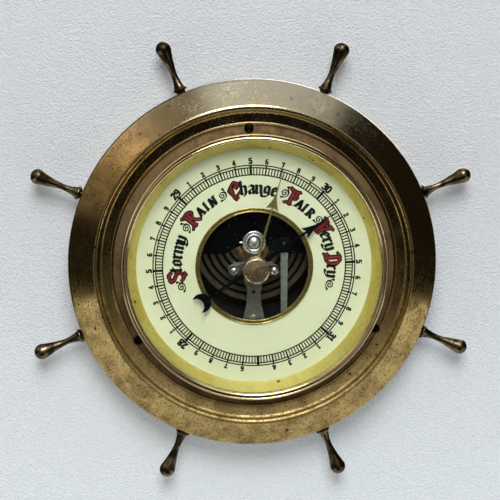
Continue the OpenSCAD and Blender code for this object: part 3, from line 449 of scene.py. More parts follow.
# Round foot of the lever: hardened steel left grey blue from its tempering
FOOT_STEEL = aged_metal(
    "tempered_steel_lever_foot",
    "#2B3136",
    "#1B1F22",
    "#121416",
    patch_mm=3,
    gloss=(0.28, 0.42),
    speck=0.25,
    speck_mm=0.4,
)
# Its tongue, which lies along the lever, is filed bright
TONGUE_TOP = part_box("lever_foot")[0].z + 3.1 * MM
settled(FOOT_STEEL, "Z", TONGUE_TOP, TONGUE_TOP - 0.1 * MM, "#B6BAB6", 1.0)
# Pressed nickel silver of the capsule, satin and gone brown behind the dial
CAPSULE_METAL = aged_metal(
    "pressed_capsule_metal",
    "#7A7060",
    "#5A5246",
    "#2A241A",
    patch_mm=9,
    cover=(0.3, 0.75),
    gloss=(0.32, 0.38),
    speck=0.0,
)
# Painted shade in its grooves: from a quarter of a millimetre behind its front the metal turns almost black,
# and stays so further back
CAPSULE_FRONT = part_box("capsule_diaphragm")[0].y
settled(CAPSULE_METAL, "Y", CAPSULE_FRONT + 0.25 * MM, CAPSULE_FRONT + 0.65 * MM, "#100E0B", 0.92)
# Turned copper of the cup, warm and bright with brown clouds
COPPER = aged_metal(
    "turned_copper_cup",
    "#DDB48A",
    "#A67C5C",
    "#33201A",
    patch_mm=3,
    gloss=(0.2, 0.34),
    speck=0.25,
    speck_mm=0.4,
)
# Polished steel heated until it turns a very dark blue
BLUED_STEEL = aged_metal(
    "heat_blued_steel",
    "#30343E",
    "#1D2027",
    "#0A0A0C",
    patch_mm=6,
    gloss=(0.24, 0.36),
    grain=(1, 1, 0.1),
    grain_mm=0.12,
    grain_depth=0.06,
    speck=0.2,
    speck_mm=0.5,
)
# Screws chemically blackened, with grease and dust in the slot
BLACKED_SCREW = aged_metal(
    "blackened_screw_steel",
    "#1C1A18",
    "#0E0D0C",
    "#3A342A",
    patch_mm=1.5,
    gloss=(0.3, 0.46),
    speck=0.3,
    speck_mm=0.3,
)


def japanned_plate():
    """Steel plate under baked black japan: near black, a soft gloss, orange peel about 0.6 mm across."""
    made, tree, shader, place = blank("black_japanned_plate")
    peel = add(
        tree, "ShaderNodeTexNoise", Vector=place, Scale=per_metre(0.6), Detail=3, Roughness=0.5
    ).outputs["Fac"]
    dust = add(
        tree, "ShaderNodeTexNoise", Vector=place, Scale=per_metre(7), Detail=6, Roughness=0.65
    ).outputs["Fac"]
    black = {"stops": [(0.35, "#0B0C0E"), (0.62, "#16181A"), (0.8, "#2A2823")]}
    colour = add(tree, "ShaderNodeValToRGB", black, Fac=dust).outputs["Color"]
    tree.links.new(colour, shader.inputs["Base Color"])
    rough = add(tree, "ShaderNodeMapRange", Value=dust, To_Min=0.25, To_Max=0.5).outputs[0]
    tree.links.new(rough, shader.inputs["Roughness"])
    bump = add(tree, "ShaderNodeBump", Strength=0.3, Distance=0.00003, Height=peel).outputs[0]
    tree.links.new(bump, shader.inputs["Normal"])
    return made


def dial_card():
    """Metal dial under matt cream enamel paint: faint mottle, a few rust freckles, fine orange peel."""
    made, tree, shader, place = blank("cream_enamelled_dial")
    mottle = add(
        tree, "ShaderNodeTexNoise", Vector=place, Scale=per_metre(16), Detail=5, Roughness=0.6
    ).outputs["Fac"]
    cream = {"stops": [(0.3, "#D3D6B2"), (0.5, "#D7DABA"), (0.72, "#DBDDC0")]}
    colour = add(tree, "ShaderNodeValToRGB", cream, Fac=mottle).outputs["Color"]
    freckles = add(
        tree, "ShaderNodeTexVoronoi", Vector=place, Scale=per_metre(7.5), Randomness=1.0
    ).outputs["Distance"]
    near = add(
        tree,
        "ShaderNodeMapRange",
        SMOOTH,
        Value=freckles,
        From_Min=0.022,
        From_Max=0.05,
        To_Min=0.45,
        To_Max=0.0,
    ).outputs[0]
    colour = add(tree, "ShaderNodeMix", COLOURS, i0=near, i6=colour, i7=srgb("#8C8A66")).outputs[2]
    tree.links.new(colour, shader.inputs["Base Color"])
    shader.inputs["Roughness"].default_value = 0.42
    peel = add(
        tree, "ShaderNodeTexNoise", Vector=place, Scale=per_metre(0.5), Detail=2, Roughness=0.5
    ).outputs["Fac"]
    bump = add(tree, "ShaderNodeBump", Strength=0.15, Distance=0.00002, Height=peel).outputs[0]
    tree.links.new(bump, shader.inputs["Normal"])
    return made


def printing_ink(name, colour, worn):
    """Screen printing ink, matt and slightly uneven in density over about 0.4 mm."""
    made, tree, shader, place = blank(name)
    grain = add(
        tree, "ShaderNodeTexNoise", Vector=place, Scale=per_metre(0.4), Detail=3, Roughness=0.6
    ).outputs["Fac"]
    density = {"stops": [(0.4, colour), (0.75, worn)]}
    mixed = add(tree, "ShaderNodeValToRGB", density, Fac=grain).outputs["Color"]
    tree.links.new(mixed, shader.inputs["Base Color"])
    shader.inputs["Roughness"].default_value = 0.6
    shader.inputs["Specular IOR Level"].default_value = 0.25
    return made


def flat_glass():
    """Float glass: clear, a trace of green, a few smears. Lamps reach the dial through it."""
    made, tree, shader, place = blank("clear_flat_glass")
    shader.inputs["Base Color"].default_value = srgb("#FAFFFC")
    shader.inputs["Transmission Weight"].default_value = 1.0
    shader.inputs["IOR"].default_value = 1.5
    smear = add(
        tree,
        "ShaderNodeTexNoise",
        Vector=place,
        Scale=per_metre(30),
        Detail=5,
        Roughness=0.6,
        Distortion=1.0,
    ).outputs["Fac"]
    rough = add(
        tree, "ShaderNodeMapRange", Value=smear, From_Min=0.5, From_Max=0.8, To_Min=0.0, To_Max=0.04
    ).outputs[0]
    tree.links.new(rough, shader.inputs["Roughness"])
    clear = add(tree, "ShaderNodeBsdfTransparent", Color=(0.94, 0.955, 0.945, 1)).outputs[0]
    shadow = add(tree, "ShaderNodeLightPath").outputs["Is Shadow Ray"]
    mixed = add(tree, "ShaderNodeMixShader", i0=shadow, i1=shader.outputs[0], i2=clear).outputs[0]
    tree.links.new(mixed, tree.nodes["Material Output"].inputs["Surface"])
    return made


JAPAN = japanned_plate()
DIAL_PAINT = dial_card()
BLACK_INK = printing_ink("black_dial_ink", "#070706", "#161612")
RED_INK = printing_ink("red_dial_ink", "#84202B", "#94343A")
GLASS = flat_glass()

# The solids that each finish belongs to
FINISHES = {
    RIM_BRASS: "wheel_rim",
    HANDLE_BRASS: " ".join(f"handle_{i}" for i in range(1, 9)),
    CASE_BRASS: "movement_case hanging_bracket bracket_rivets",
    BEZEL_BRASS: "bezel",
    CONE_BRASS: "reflector_ring",
    TURNED_BRASS: "handle_nuts case_nuts hole_trim_ring dial_pillars set_shaft friction_washer set_hand_nut",
    KNOB_BRASS: "set_knob",
    SET_HAND_BRASS: "set_hand",
    NUT_STEEL: "boss_nut",
    BRIGHT_STEEL: "base_screws capsule_post boss_pin clamp_screws lever_link rocking_shaft "
    "bearing_screws arbor hairspring_stud strap_post wing_plate wing_pillars wing_screws adjusting_screw",
    GREY_STEEL: "lever_arm shaft_bearings arbor_rear_bar",
    DARK_STEEL: "arbor_strap strap_screw",
    SPRING_STEEL: "main_spring",
    FOOT_STEEL: "lever_foot lever_foot_screw",
    CAPSULE_METAL: "capsule_rear capsule_diaphragm",
    COPPER: "capsule_cup",
    BLUED_STEEL: "indicating_hand hand_hub hairspring chain",
    BLACKED_SCREW: "case_screws",
    JAPAN: "base_plate spring_bridge spring_clamp",
    DIAL_PAINT: "dial",
    GLASS: "glass",
}
for material, names in FINISHES.items():
    for node in names.split():
        NODES[node].data.materials.clear()
        NODES[node].data.materials.append(material)

# Pieces that are printed on the dial


def on_dial(radius, clock):
    """The place on the dial at a radius and a clock angle, with its up pointing away from the centre."""
    a = math.radians(clock)
    turn = Matrix(
        (
            (math.cos(a), math.sin(a), 0),
            (0, 0, -1),
            (-math.sin(a), math.cos(a), 0),
        )
    ).to_4x4()
    at = Vector((radius * math.sin(a), -DIAL_FACE, radius * math.cos(a))) * MM
    return Matrix.Translation(at) @ turn


def piece(name, mesh, material):
    """Adds a finished mesh as a piece of the case."""
    mesh.materials.clear()
    mesh.materials.append(material)
    made = bpy.data.objects.new(name, mesh)
    bpy.context.scene.collection.objects.link(made)
    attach(made, "case")


def slab(outline, thick=INK):
    """A closed plate over a flat outline in x and y, in mm, from z = 0 up."""
    bm = bmesh.new()
    low = [bm.verts.new((x, y, 0)) for x, y in outline]
    high = [bm.verts.new((x, y, thick)) for x, y in outline]
    bm.faces.new(high)
    bm.faces.new(low[::-1])
    count = len(outline)
    for i in range(count):
        j = (i + 1) % count
        bm.faces.new((low[i], low[j], high[j], high[i]))
    return bm


def ring_line(radius, width):
    """A printed circle, as a thin closed ring."""
    bm = bmesh.new()
    steps = 360
    inner, outer = radius - width / 2, radius + width / 2
    loops = []
    for r, z in ((inner, 0), (outer, 0), (outer, INK), (inner, INK)):
        angles = [math.tau * i / steps for i in range(steps)]
        loops.append([bm.verts.new((r * math.cos(a), r * math.sin(a), z)) for a in angles])
    for a, b in zip(loops, loops[1:] + loops[:1]):
        for i in range(steps):
            j = (i + 1) % steps
            bm.faces.new((a[i], a[j], b[j], b[i]))
    bmesh.ops.recalc_face_normals(bm, faces=bm.faces)
    bm.transform(on_dial(0, 0) @ Matrix.Scale(MM, 4))
    return bm


def gather(parts):
    """One mesh from several bmeshes."""
    whole = bmesh.new()
    for part in parts:
        part.normal_update()
        scratch = bpy.data.meshes.new("scratch")
        part.to_mesh(scratch)
        whole.from_mesh(scratch)
        bpy.data.meshes.remove(scratch)
        part.free()
    made = bpy.data.meshes.new("gathered")
    whole.to_mesh(made)
    whole.free()
    return made


# The scale's ticks and circles


def tick_tree():
    """Geometry nodes that lay ticks along an arc of the dial, as closed bars of ink."""
    tree = bpy.data.node_groups.new("scale_ticks", "GeometryNodeTree")
    face = tree.interface
    for name, kind in (
        ("Count", "NodeSocketInt"),
        ("First angle", "NodeSocketFloat"),
        ("Step angle", "NodeSocketFloat"),
        ("Inner radius", "NodeSocketFloat"),
        ("Outer radius", "NodeSocketFloat"),
        ("Width", "NodeSocketFloat"),
        ("Face height", "NodeSocketFloat"),
        ("Ink thickness", "NodeSocketFloat"),
        ("Ink", "NodeSocketMaterial"),
    ):
        face.new_socket(name, in_out="INPUT", socket_type=kind)
    face.new_socket("Geometry", in_out="OUTPUT", socket_type="NodeSocketGeometry")
    given = add(tree, "NodeGroupInput").outputs
    inner, outer = given["Inner radius"], given["Outer radius"]
    thick = given["Ink thickness"]
    # Each tick is a bar round its middle, half of it above the dial's face
    span = add(tree, "ShaderNodeMath", LESS, i0=outer, i1=inner).outputs[0]
    middle = add(tree, "ShaderNodeMath", PLUS, i0=outer, i1=inner).outputs[0]
    middle = add(tree, "ShaderNodeMath", TIMES, i0=middle, i1=0.5).outputs[0]
    depth = add(tree, "ShaderNodeMath", TIMES_PLUS, i0=thick, i1=0.5, i2=given["Face height"]).outputs[0]
    depth = add(tree, "ShaderNodeMath", TIMES, i0=depth, i1=-1.0).outputs[0]
    index = add(tree, "GeometryNodeInputIndex").outputs[0]
    angle = add(
        tree, "ShaderNodeMath", TIMES_PLUS, i0=index, i1=given["Step angle"], i2=given["First angle"]
    ).outputs[0]
    sine = add(tree, "ShaderNodeMath", {"operation": "SINE"}, i0=angle).outputs[0]
    cosine = add(tree, "ShaderNodeMath", {"operation": "COSINE"}, i0=angle).outputs[0]
    across = add(tree, "ShaderNodeMath", TIMES, i0=sine, i1=middle).outputs[0]
    up = add(tree, "ShaderNodeMath", TIMES, i0=cosine, i1=middle).outputs[0]
    spot = add(tree, "ShaderNodeCombineXYZ", X=across, Y=depth, Z=up).outputs[0]
    points = add(tree, "GeometryNodePoints", Count=given["Count"], Position=spot).outputs[0]
    size = add(tree, "ShaderNodeCombineXYZ", X=given["Width"], Y=thick, Z=span).outputs[0]
    bar = add(tree, "GeometryNodeMeshCube", Size=size).outputs["Mesh"]
    spin = add(tree, "ShaderNodeCombineXYZ", Y=angle).outputs[0]
    laid = add(tree, "GeometryNodeInstanceOnPoints", Points=points, Instance=bar, Rotation=spin).outputs[0]
    real = add(tree, "GeometryNodeRealizeInstances", Geometry=laid).outputs[0]
    inked = add(tree, "GeometryNodeSetMaterial", Geometry=real, Material=given["Ink"]).outputs[0]
    add(tree, "NodeGroupOutput", Geometry=inked)
    return tree


TICKS = tick_tree()


def ticks(name, count, first, step, inner, outer, width):
    """One run of ticks as a piece. Angles are clock degrees, lengths mm."""
    holder = bpy.data.objects.new(name + "_maker", bpy.data.meshes.new(name + "_maker"))
    bpy.context.scene.collection.objects.link(holder)
    modifier = holder.modifiers.new("ticks", "NODES")
    modifier.node_group = TICKS
    values = {
        "Count": count,
        "First angle": math.radians(first),
        "Step angle": math.radians(step),
        "Inner radius": inner * MM,
        "Outer radius": outer * MM,
        "Width": width * MM,
        "Face height": DIAL_FACE * MM,
        "Ink thickness": INK * MM,
        "Ink": BLACK_INK,
    }
    for item in TICKS.interface.items_tree:
        if item.in_out == "INPUT":
            modifier[item.identifier] = values[item.name]
    graph = bpy.context.evaluated_depsgraph_get()
    mesh = bpy.data.meshes.new_from_object(
        holder.evaluated_get(graph), preserve_all_data_layers=True, depsgraph=graph
    )
    mesh.name = name
    bpy.data.objects.remove(holder)
    piece(name, mesh, BLACK_INK)


# Radii of the scale's three circles, and the width of their lines
OUTER_LINE, MIDDLE_LINE, INNER_LINE = 44.8, 43.7, 40.6
CIRCLE_WIDTH = 0.55
# An inch of mercury is a quarter of the dial and a tenth is nine degrees; 29.5 inches stands at TOP,
# just left of twelve o'clock
INCH, TENTH, TOP = 90.0, 9.0, -2.2
FIFTIETH = TENTH / 5
# Widths of the ticks of a fiftieth and a tenth of an inch, and of the strong ones
FIFTIETH_TICK, TENTH_TICK, STRONG_TICK = 0.52, 0.7, 1.15
# The strong ticks begin just inside the inner circle, and an inch's tick passes the outer one
STRONG_START, INCH_END = INNER_LINE - 0.1, OUTER_LINE + 0.6

ticks("scale_small_ticks", 200, TOP + FIFTIETH, FIFTIETH, INNER_LINE, MIDDLE_LINE, FIFTIETH_TICK)
ticks("scale_tenth_ticks", 40, TOP, TENTH, INNER_LINE, OUTER_LINE, TENTH_TICK)
ticks("scale_inch_ticks", 4, TOP - INCH * 1.5, INCH, STRONG_START, INCH_END, STRONG_TICK)
ticks("scale_half_ticks", 4, TOP - INCH, INCH, STRONG_START, OUTER_LINE, STRONG_TICK)
piece(
    "scale_circles",
    gather([ring_line(radius, CIRCLE_WIDTH) for radius in (OUTER_LINE, MIDDLE_LINE, INNER_LINE)]),
    BLACK_INK,
)

# The pen that draws figures and letters


def strokes(written):
    """Reads pen strokes parted by slashes, each a row of points x,y in hundredths of the height."""
    return [
        [tuple(int(number) / 100 for number in point.split(",")) for point in stroke.split()]
        for stroke in written.split("/")
    ]


def turns_left(a, b, c):
    """Whether the way from a through b to c turns to the left."""
    return (b[0] - a[0]) * (c[1] - a[1]) > (b[1] - a[1]) * (c[0] - a[0])


def hull(points):
    """The convex outline round some flat points, counter-clockwise."""
    points = sorted({(round(x, 5), round(y, 5)) for x, y in points})
    outline = []
    for run in (points, points[::-1]):
        side = []
        for point in run:
            while len(side) > 1 and not turns_left(side[-2], side[-1], point):
                side.pop()
            side.append(point)
        outline += side[:-1]
    return outline


def pen_outlines(paths, nib, edge, slope, grow=0.0):
    """The outlines that a broad pen leaves along each step of its paths, in the letter's own units.

    nib and edge are the pen's width and thickness, slope the angle at which it is held, and grow
    widens it on every side.
    """
    a = math.radians(slope)
    ax, ay = math.cos(a), math.sin(a)
    half, thin = nib / 2 + grow, edge / 2 + grow
    corners = [
        (ax * half * i - ay * thin * j, ay * half * i + ax * thin * j)
        for i, j in ((1, 1), (-1, 1), (-1, -1), (1, -1))
    ]
    return [
        hull([(x + cx, y + cy) for x, y in step for cx, cy in corners])
        for path in paths
        for step in zip(path, path[1:])
    ]


# The scale's figures

# Strokes of each figure, with its width as a part of its height
FIGURES = {
    "0": (0.56, "28,100 10,85 5,50 10,15 28,0 / 28,100 46,85 51,50 46,15 28,0"),
    "1": (0.42, "22,100 22,2 / 4,76 22,97 / 4,3 40,3"),
    "2": (0.56, "10,76 16,93 32,98 46,87 46,68 30,42 8,8 / 6,5 30,6 50,3 54,20"),
    "3": (0.54, "8,80 20,97 38,95 46,79 40,60 22,53 / 22,53 42,47 50,27 40,6 20,1 6,16"),
    "4": (0.6, "38,100 6,30 58,30 / 42,95 42,3 / 28,3 56,3"),
    "5": (0.54, "12,97 46,97 / 12,97 10,54 32,60 47,46 48,20 34,3 14,2 5,16"),
    "6": (0.56, "44,92 26,97 10,76 5,40 12,10 28,1 45,10 50,30 42,50 26,56 10,42"),
    "7": (0.54, "6,78 8,95 50,95 34,60 22,2"),
    "8": (0.56, "28,54 10,68 10,88 28,99 46,88 46,68 28,54 7,38 7,12 28,1 49,12 49,38 28,54"),
    "9": (0.56, "12,8 30,3 46,24 51,60 44,90 28,99 11,90 6,70 14,50 30,44 46,58"),
}
# The pen is held almost level, broad across and thin upwards, as in old book figures
FIGURE_SLOPE = 4
FIGURE_GAP = 0.12
# How figures are drawn: height in mm, nib and thin edge as parts of it, and the height of the foot
# over the outer circle in mm
INCH_FIGURES = (3.2, 0.27, 0.15, 0.75)
HALF_FIGURES = (2.45, 0.34, 0.19, 0.65)
TENTH_FIGURES = (2.2, 0.28, 0.16, 0.65)


def figures(text, kind, clock):
    """Figures with their middle at a clock angle, as thin plates."""
    height, nib, edge, over = kind
    place = on_dial(OUTER_LINE + over, clock) @ Matrix.Scale(MM, 4)
    left = -sum(FIGURES[c][0] + FIGURE_GAP for c in text) / 2 + FIGURE_GAP / 2
    found = []
    for character in text:
        wide, written = FIGURES[character]
        for outline in pen_outlines(strokes(written), nib, edge, FIGURE_SLOPE):
            bm = slab([((left + x) * height, y * height) for x, y in outline])
            bm.transform(place)
            found.append(bm)
        left += wide + FIGURE_GAP
    return found


def scale_figures():
    """The tenths as small figures and the inches as large ones, from 27.6 to 31.4 inches."""
    small, large = [], []
    for tenths in range(276, 315):
        inches, tenth = divmod(tenths, 10)
        clock = TOP + (tenths - 295) * TENTH
        if tenth == 0:
            large += figures(str(inches), INCH_FIGURES, clock)
        else:
            small += figures(str(tenth), HALF_FIGURES if tenth == 5 else TENTH_FIGURES, clock)
    piece("scale_tenth_figures", gather(small), BLACK_INK)
    piece("scale_inch_figures", gather(large), BLACK_INK)


# The weather words

# Strokes of each letter, with its width, in units of the small letters' height
LETTERS = {
    "t": (0.46, "5,125 5,14 16,3 32,14 / -8,93 30,93"),
    "o": (0.58, "16,97 3,84 3,16 16,3 / 16,97 40,84 40,16 16,3"),
    "r": (0.46, "-8,97 3,86 3,14 14,3 / 6,82 20,97 33,85"),
    "n": (0.64, "-8,97 3,86 3,14 14,3 / 6,82 30,98 44,85 44,14 55,3"),
    "m": (1.04, "-8,97 3,86 3,14 14,3 / 6,82 30,98 44,85 44,14 52,5 / 47,82 70,98 84,85 84,14 95,3"),
    "a": (0.62, "36,58 6,42 6,13 16,3 38,17 / 4,88 18,98 42,84 42,14 53,3"),
    "e": (0.54, "16,97 3,84 3,16 16,3 42,15 / 16,97 38,84 36,62 6,46"),
    "g": (0.6, "16,97 3,84 3,30 16,20 40,30 / 16,97 42,84 42,0 24,-20 -14,-24 -26,-10"),
    "h": (0.62, "-6,150 3,142 3,14 13,3 / 6,80 28,97 44,84 44,14 30,-14"),
    "y": (0.62, "-7,97 3,86 3,20 14,10 40,24 / 34,97 44,86 44,10 30,-12 2,-24 -16,-14"),
    "A": (0.8, "2,2 36,136 / 36,136 66,4 / 12,45 58,45 / -10,3 16,3 / 52,3 80,3"),
    "I": (0.4, "10,134 10,4 / 2,136 20,136 / 2,3 20,3"),
    "N": (0.86, "6,130 6,4 / 2,136 62,4 / 62,132 62,10 / -8,3 20,3 / 48,136 76,136"),
    "R": (0.86, "10,134 10,4 / 0,136 42,134 56,112 50,84 14,70 / 32,70 54,30 70,5 / -6,3 26,3"),
}
INITIALS = {
    "S": (
        0.86,
        "78,116 66,138 34,142 12,124 12,98 42,80 70,62 76,36 58,10 24,4 2,24 / 10,140 2,120 / 42,-2 "
        "50,-20 66,-14 / 80,62 86,40",
    ),
    "R": (
        0.95,
        "26,136 24,8 / -8,144 6,134 50,140 82,126 84,96 64,78 28,74 / 50,72 66,36 96,4 / -12,2 "
        "10,14 36,2 / 52,130 50,84",
    ),
    "C": (
        0.9,
        "84,120 66,134 44,142 24,116 2,86 4,66 26,26 42,6 86,46 / 17,104 22,46 / 56,112 66,88 "
        "82,100 / 30,10 42,-14 56,-6",
    ),
    "F": (
        0.8,
        "30,134 30,10 / -10,146 4,136 40,134 80,142 / 36,86 72,84 / 66,136 56,110 / 70,98 66,66 / "
        "-8,0 14,12 46,4",
    ),
    "V": (
        0.9,
        "2,136 16,100 30,10 / 20,130 42,16 / 78,134 60,84 46,12 / -20,140 30,132 / 56,134 100,142 / "
        "16,2 60,6",
    ),
    "D": (0.92, "-4,128 20,144 62,140 84,110 84,50 62,16 10,6 -6,-6 / 30,130 26,16 / 0,30 10,4"),
}
# The pen is held at 40 degrees, which gives the thick and thin strokes
LETTER_SLOPE = 40
# Where a letter's middle lies in its width
LETTER_MIDDLE = 0.44
# How a kind of letter is drawn: radius of its foot and size of its unit in mm, widening, nib width
# and the pen's thin edge
SMALL_LETTERS = (32.2, 3.95, 1.19, 0.31, 0.09)
CAPITALS = (32.2, 2.86, 1.28, 0.38, 0.13)
LARGE_INITIALS = (31.5, 4.7, 1.1, 0.16, 0.09)
# Width of the black edge round a red initial, in its units
INITIAL_EDGE = 0.09
# Nib width and thin edge of the pen that draws the scrolls, in mm
SCROLL_NIB, SCROLL_EDGE = 0.48, 0.4
# The part of its size by which a curl's radius shrinks as it winds inwards
CURL_CLOSES = 0.86

# Each letter with the clock angle of its middle
WORDS = (
    (("S", -97.6), ("t", -91.4), ("o", -86.6), ("r", -81.4), ("m", -75.2), ("y", -68.8)),
    (("R", -53.0), ("A", -44.2), ("I", -38.3), ("N", -32.3)),
    (("C", -15.0), ("h", -7.8), ("a", -2.0), ("n", 3.6), ("g", 9.6), ("e", 15.2)),
    (("F", 28.7), ("A", 36.0), ("I", 41.2), ("R", 46.8)),
    (("V", 60.6), ("e", 66.6), ("r", 71.2), ("y", 76.0)),
    (("D", 84.8), ("r", 91.4), ("y", 96.6)),
)
# Each scroll between the words: clock angle, radius, its turn, and -1 where it is mirrored
SCROLLS = (
    (-105.6, 33.6, -50, 1),
    (-60.3, 34.6, 0, 1),
    (-24.2, 34.4, -12, 1),
    (22.3, 35.2, 0, 1),
    (54.0, 35.2, -8, 1),
    (104.2, 34.6, 52, -1),
)


def pen_letter(letter, clock, kind, grow=0.0, lift=INK):
    """One letter with its middle at a clock angle, as thin plates."""
    foot, unit, wide, nib, edge = kind
    span, written = (INITIALS if kind is LARGE_INITIALS else LETTERS)[letter]
    place = on_dial(foot, clock) @ Matrix.Scale(MM, 4)
    found = []
    for outline in pen_outlines(strokes(written), nib, edge, LETTER_SLOPE, grow):
        bm = slab([((x - span * LETTER_MIDDLE) * wide * unit, y * unit) for x, y in outline], lift)
        bm.transform(place)
        found.append(bm)
    return found


def curl(turns, size, steps):
    """Points of a small spiral that winds inwards."""
    found = []
    for i in range(steps + 1):
        t = i / steps
        a = t * turns * math.tau
        r = size * (1 - CURL_CLOSES * t)
        found.append((r * math.cos(a), r * math.sin(a)))
    return found


def scroll(clock, radius, turn, flip):
    """A printed flourish: one spiral, whose line runs on to a little curl at either end."""
    big = curl(1.45, 1.7, 26)
    tail = [(1.75, 0), (1.5, -0.9), (0.6, -1.7), (-0.4, -2.1)]
    foot = [(x - 0.75, y - 2.2) for x, y in curl(1.1, 0.45, 14)]
    rise = [(1.75, 0), (1.75, 0.9), (1.1, 1.8), (0.95, 2.5)]
    head = [(x + 0.55, y + 2.75) for x, y in curl(1.1, 0.45, 14)]
    place = on_dial(radius, clock) @ Matrix.Rotation(math.radians(turn), 4, "Z")
    found = []
    for outline in pen_outlines([big, tail, foot, rise, head], SCROLL_NIB, SCROLL_EDGE, LETTER_SLOPE):
        bm = slab([(x * flip, y) for x, y in outline][::flip])
        bm.transform(place @ Matrix.Scale(MM, 4))
        found.append(bm)
    return found


def weather_words():
    """Each word has a large red initial with a black edge, then heavy black letters."""
    black, red = [], []
    for word in WORDS:
        for i, (letter, clock) in enumerate(word):
            if i == 0:
                black += pen_letter(letter, clock, LARGE_INITIALS, INITIAL_EDGE)
                red += pen_letter(letter, clock, LARGE_INITIALS, lift=INK * 2)
            else:
                black += pen_letter(letter, clock, CAPITALS if letter.isupper() else SMALL_LETTERS)
    for clock, radius, turn, flip in SCROLLS:
        black += scroll(clock, radius, turn, flip)
    piece("weather_words_black", gather(black), BLACK_INK)
    piece("weather_words_red", gather(red), RED_INK)


scale_figures()
weather_words()

# Wall, room, lamps and camera


def wall_paper():
    """Painted embossed wallpaper: a pale cool white with a leather-like grain about 0.75 mm across.

    It shows only from the front and only to the camera, so that the object's back can be looked at.
    """
    made, tree, shader, place = blank("embossed_wallpaper")
    fade = add(tree, "ShaderNodeSeparateXYZ", Vector=place).outputs["Z"]
    fade = add(tree, "ShaderNodeMapRange", Value=fade, From_Min=-0.12, From_Max=0.12).outputs[0]
    # Painted light: the paint is a shade paler towards the bottom, where the table lights the wall
    paint = {"stops": [(0.0, "#F6FDFF"), (0.5, "#EDF4FC"), (1.0, "#EAF0F8")]}
    colour = add(tree, "ShaderNodeValToRGB", paint, Fac=fade).outputs["Color"]
    tree.links.new(colour, shader.inputs["Base Color"])
    shader.inputs["Roughness"].default_value = 0.6
    # A little light of its own, more towards the bottom, as the table lights the wall there
    light = {"stops": [(0.0, 0.2), (0.35, 0.11), (0.7, 0.03), (1.0, 0.03)]}
    glow = add(tree, "ShaderNodeValToRGB", light, Fac=fade).outputs["Color"]
    tree.links.new(glow, shader.inputs["Emission Strength"])
    shader.inputs["Emission Color"].default_value = srgb("#D6E8FF")
    grain = add(
        tree, "ShaderNodeTexNoise", Vector=place, Scale=per_metre(0.75), Detail=3, Roughness=0.55
    ).outputs["Fac"]
    bump = add(tree, "ShaderNodeBump", Strength=1.0, Distance=0.0011, Height=grain).outputs[0]
    tree.links.new(bump, shader.inputs["Normal"])
    path = add(tree, "ShaderNodeLightPath").outputs
    back = add(tree, "ShaderNodeNewGeometry").outputs["Backfacing"]
    front = add(tree, "ShaderNodeMath", LESS, i0=1.0, i1=back).outputs[0]
    seen = add(
        tree,
        "ShaderNodeMath",
        {"operation": "MAXIMUM"},
        i0=path["Is Camera Ray"],
        i1=path["Is Transmission Ray"],
    ).outputs[0]
    seen = add(tree, "ShaderNodeMath", TIMES, i0=seen, i1=front).outputs[0]
    clear = add(tree, "ShaderNodeBsdfTransparent").outputs[0]
    mixed = add(tree, "ShaderNodeMixShader", i0=seen, i1=clear, i2=shader.outputs[0]).outputs[0]
    tree.links.new(mixed, tree.nodes["Material Output"].inputs["Surface"])
    return made


def build_wall():
    """A square of wall behind the case, a hair's breadth from its back."""
    half, y = 0.6, 0.0003
    mesh = bpy.data.meshes.new("wall")
    corners = [(-half, y, -half), (half, y, -half), (half, y, half), (-half, y, half)]
    mesh.from_pydata(corners, [], [(0, 1, 2, 3)])
    mesh.materials.append(wall_paper())
    wall = bpy.data.objects.new("wall", mesh)
    bpy.context.scene.collection.objects.link(wall)


# Round patches of the room that the brass and the glass mirror: direction, the closeness to it at
# which a patch begins and is full, and its colour
WINDOW = (-0.73, -0.13, 0.67)
HIGH_PATCHES = (
    # A bright window high on the left with the lit wall round it, and a second pane
    (WINDOW, 0.8, 0.9, "#9C907E"),
    (WINDOW, 0.93, 0.975, "#FFEBD8"),
    ((-0.64, -0.52, 0.565), 0.98, 0.994, "#FFDFC2"),
    # The pale wall above the camera
    ((0.04, -0.93, 0.37), 0.93, 0.97, "#D8D2C4"),
    # The dark camera, which the glass mirrors over the open centre
    ((0.065, -0.99, -0.13), 0.982, 0.994, "#0C0B0A"),
)
# The dark floor behind the table
FLOOR_PATCH = ((0.03, -0.87, -0.49), 0.82, 0.91, "#1A1712")


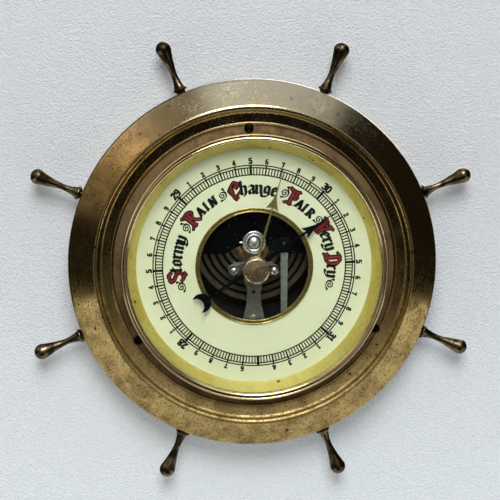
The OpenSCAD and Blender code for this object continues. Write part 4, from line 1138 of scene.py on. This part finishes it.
def build_room():
    """What the brass mirrors: a ceiling, a window, a table, dark sides, a dark floor and the camera."""
    world = bpy.data.worlds.new("room")
    bpy.context.scene.world = world
    world.use_nodes = True
    tree = world.node_tree
    way = add(tree, "ShaderNodeTexCoord").outputs["Generated"]
    axes = add(tree, "ShaderNodeSeparateXYZ", Vector=way).outputs

    def patch(direction, begins, full, colour):
        """How much a direction lies in a round patch of the room, and the patch's colour."""
        lean = add(
            tree, "ShaderNodeVectorMath", {"operation": "DOT_PRODUCT"}, i0=way, i1=direction
        ).outputs["Value"]
        amount = add(
            tree, "ShaderNodeMapRange", SMOOTH, Value=lean, From_Min=begins, From_Max=full
        ).outputs[0]
        return amount, colour

    # From the dark side walls to the middle grey of the room before the wall
    walls = {
        "stops": [
            (0.0, "#B4B0A6"),
            (0.08, "#8C8880"),
            (0.2, "#2E2A24"),
            (0.5, "#14110E"),
            (0.75, "#34322E"),
            (1.0, "#7C7A74"),
        ]
    }
    depth = add(tree, "ShaderNodeMapRange", Value=axes["Y"], From_Min=-1, From_Max=1).outputs[0]
    room = add(tree, "ShaderNodeValToRGB", walls, Fac=depth).outputs["Color"]
    # The ceiling, narrower towards the sides and lying more to the right
    spread = add(tree, "ShaderNodeMath", LESS, i0=axes["X"], i1=0.2).outputs[0]
    spread = add(tree, "ShaderNodeMath", {"operation": "ABSOLUTE"}, i0=spread).outputs[0]
    up = add(tree, "ShaderNodeMath", TIMES_PLUS, i0=spread, i1=-0.9, i2=axes["Z"]).outputs[0]
    up = add(tree, "ShaderNodeMapRange", SMOOTH, Value=up, From_Min=0.3, From_Max=0.58).outputs[0]
    # The table, with a sharp edge
    down = add(tree, "ShaderNodeMath", TIMES_PLUS, i0=axes["Y"], i1=0.12, i2=axes["Z"]).outputs[0]
    down = add(tree, "ShaderNodeMapRange", Value=down, From_Min=-0.33, From_Max=-0.37).outputs[0]
    # Each layer covers those before it
    layers = [(up, "#E6EAF4")]
    layers += [patch(*given) for given in HIGH_PATCHES]
    layers += [(down, "#EDE9DF"), patch(*FLOOR_PATCH)]
    for amount, colour in layers:
        room = add(tree, "ShaderNodeMix", COLOURS, i0=amount, i6=room, i7=srgb(colour)).outputs[2]
    sky = tree.nodes["Background"]
    tree.links.new(room, sky.inputs["Color"])
    sky.inputs["Strength"].default_value = 1.0


def lamp(name, place, power, size, colour="#FFFFFF"):
    """A round soft lamp, aimed at the barometer's middle."""
    light = bpy.data.lights.new(name, "AREA")
    light.energy = power
    light.shape = "DISK"
    light.size = size
    light.color = srgb(colour)[:3]
    made = bpy.data.objects.new(name, light)
    bpy.context.scene.collection.objects.link(made)
    made.location = place
    made.rotation_mode = "QUATERNION"
    made.rotation_quaternion = (-Vector(place)).to_track_quat("-Z", "Y")


# The photograph's view: how far away the camera stands, how far to the left and above the axis in
# degrees, the point that it looks at, and its focal length in pixels of a picture 500 pixels wide
VIEW_DISTANCE = 529.4
VIEW_TURN, VIEW_RISE = -3.58, 7.11
VIEW_TARGET = (-1.6, -12.0, 6.6)
FOCAL_PIXELS, PICTURE_PIXELS = 1183.5, 500
SENSOR = 36


def build_camera():
    """The camera, at the photograph's place."""
    turn, rise = math.radians(VIEW_TURN), math.radians(VIEW_RISE)
    back = Vector((math.sin(turn) * math.cos(rise), -math.cos(turn) * math.cos(rise), math.sin(rise)))
    data = bpy.data.cameras.new("camera")
    data.sensor_width = SENSOR
    data.lens = SENSOR * FOCAL_PIXELS / PICTURE_PIXELS
    data.clip_start, data.clip_end = 0.01, 20
    camera = bpy.data.objects.new("camera", data)
    bpy.context.scene.collection.objects.link(camera)
    camera.location = Vector(VIEW_TARGET) * MM + back * (VIEW_DISTANCE * MM)
    camera.rotation_mode = "QUATERNION"
    camera.rotation_quaternion = (-back).to_track_quat("-Z", "Y")
    bpy.context.scene.camera = camera


build_wall()
build_room()
lamp("window_above", (-0.04, -0.93, 0.88), 11, 0.75, "#FFFEFC")
lamp("back_fill", (0.3, 0.9, 0.5), 5, 0.8)
build_camera()
bpy.context.scene.view_settings.view_transform = "Standard"
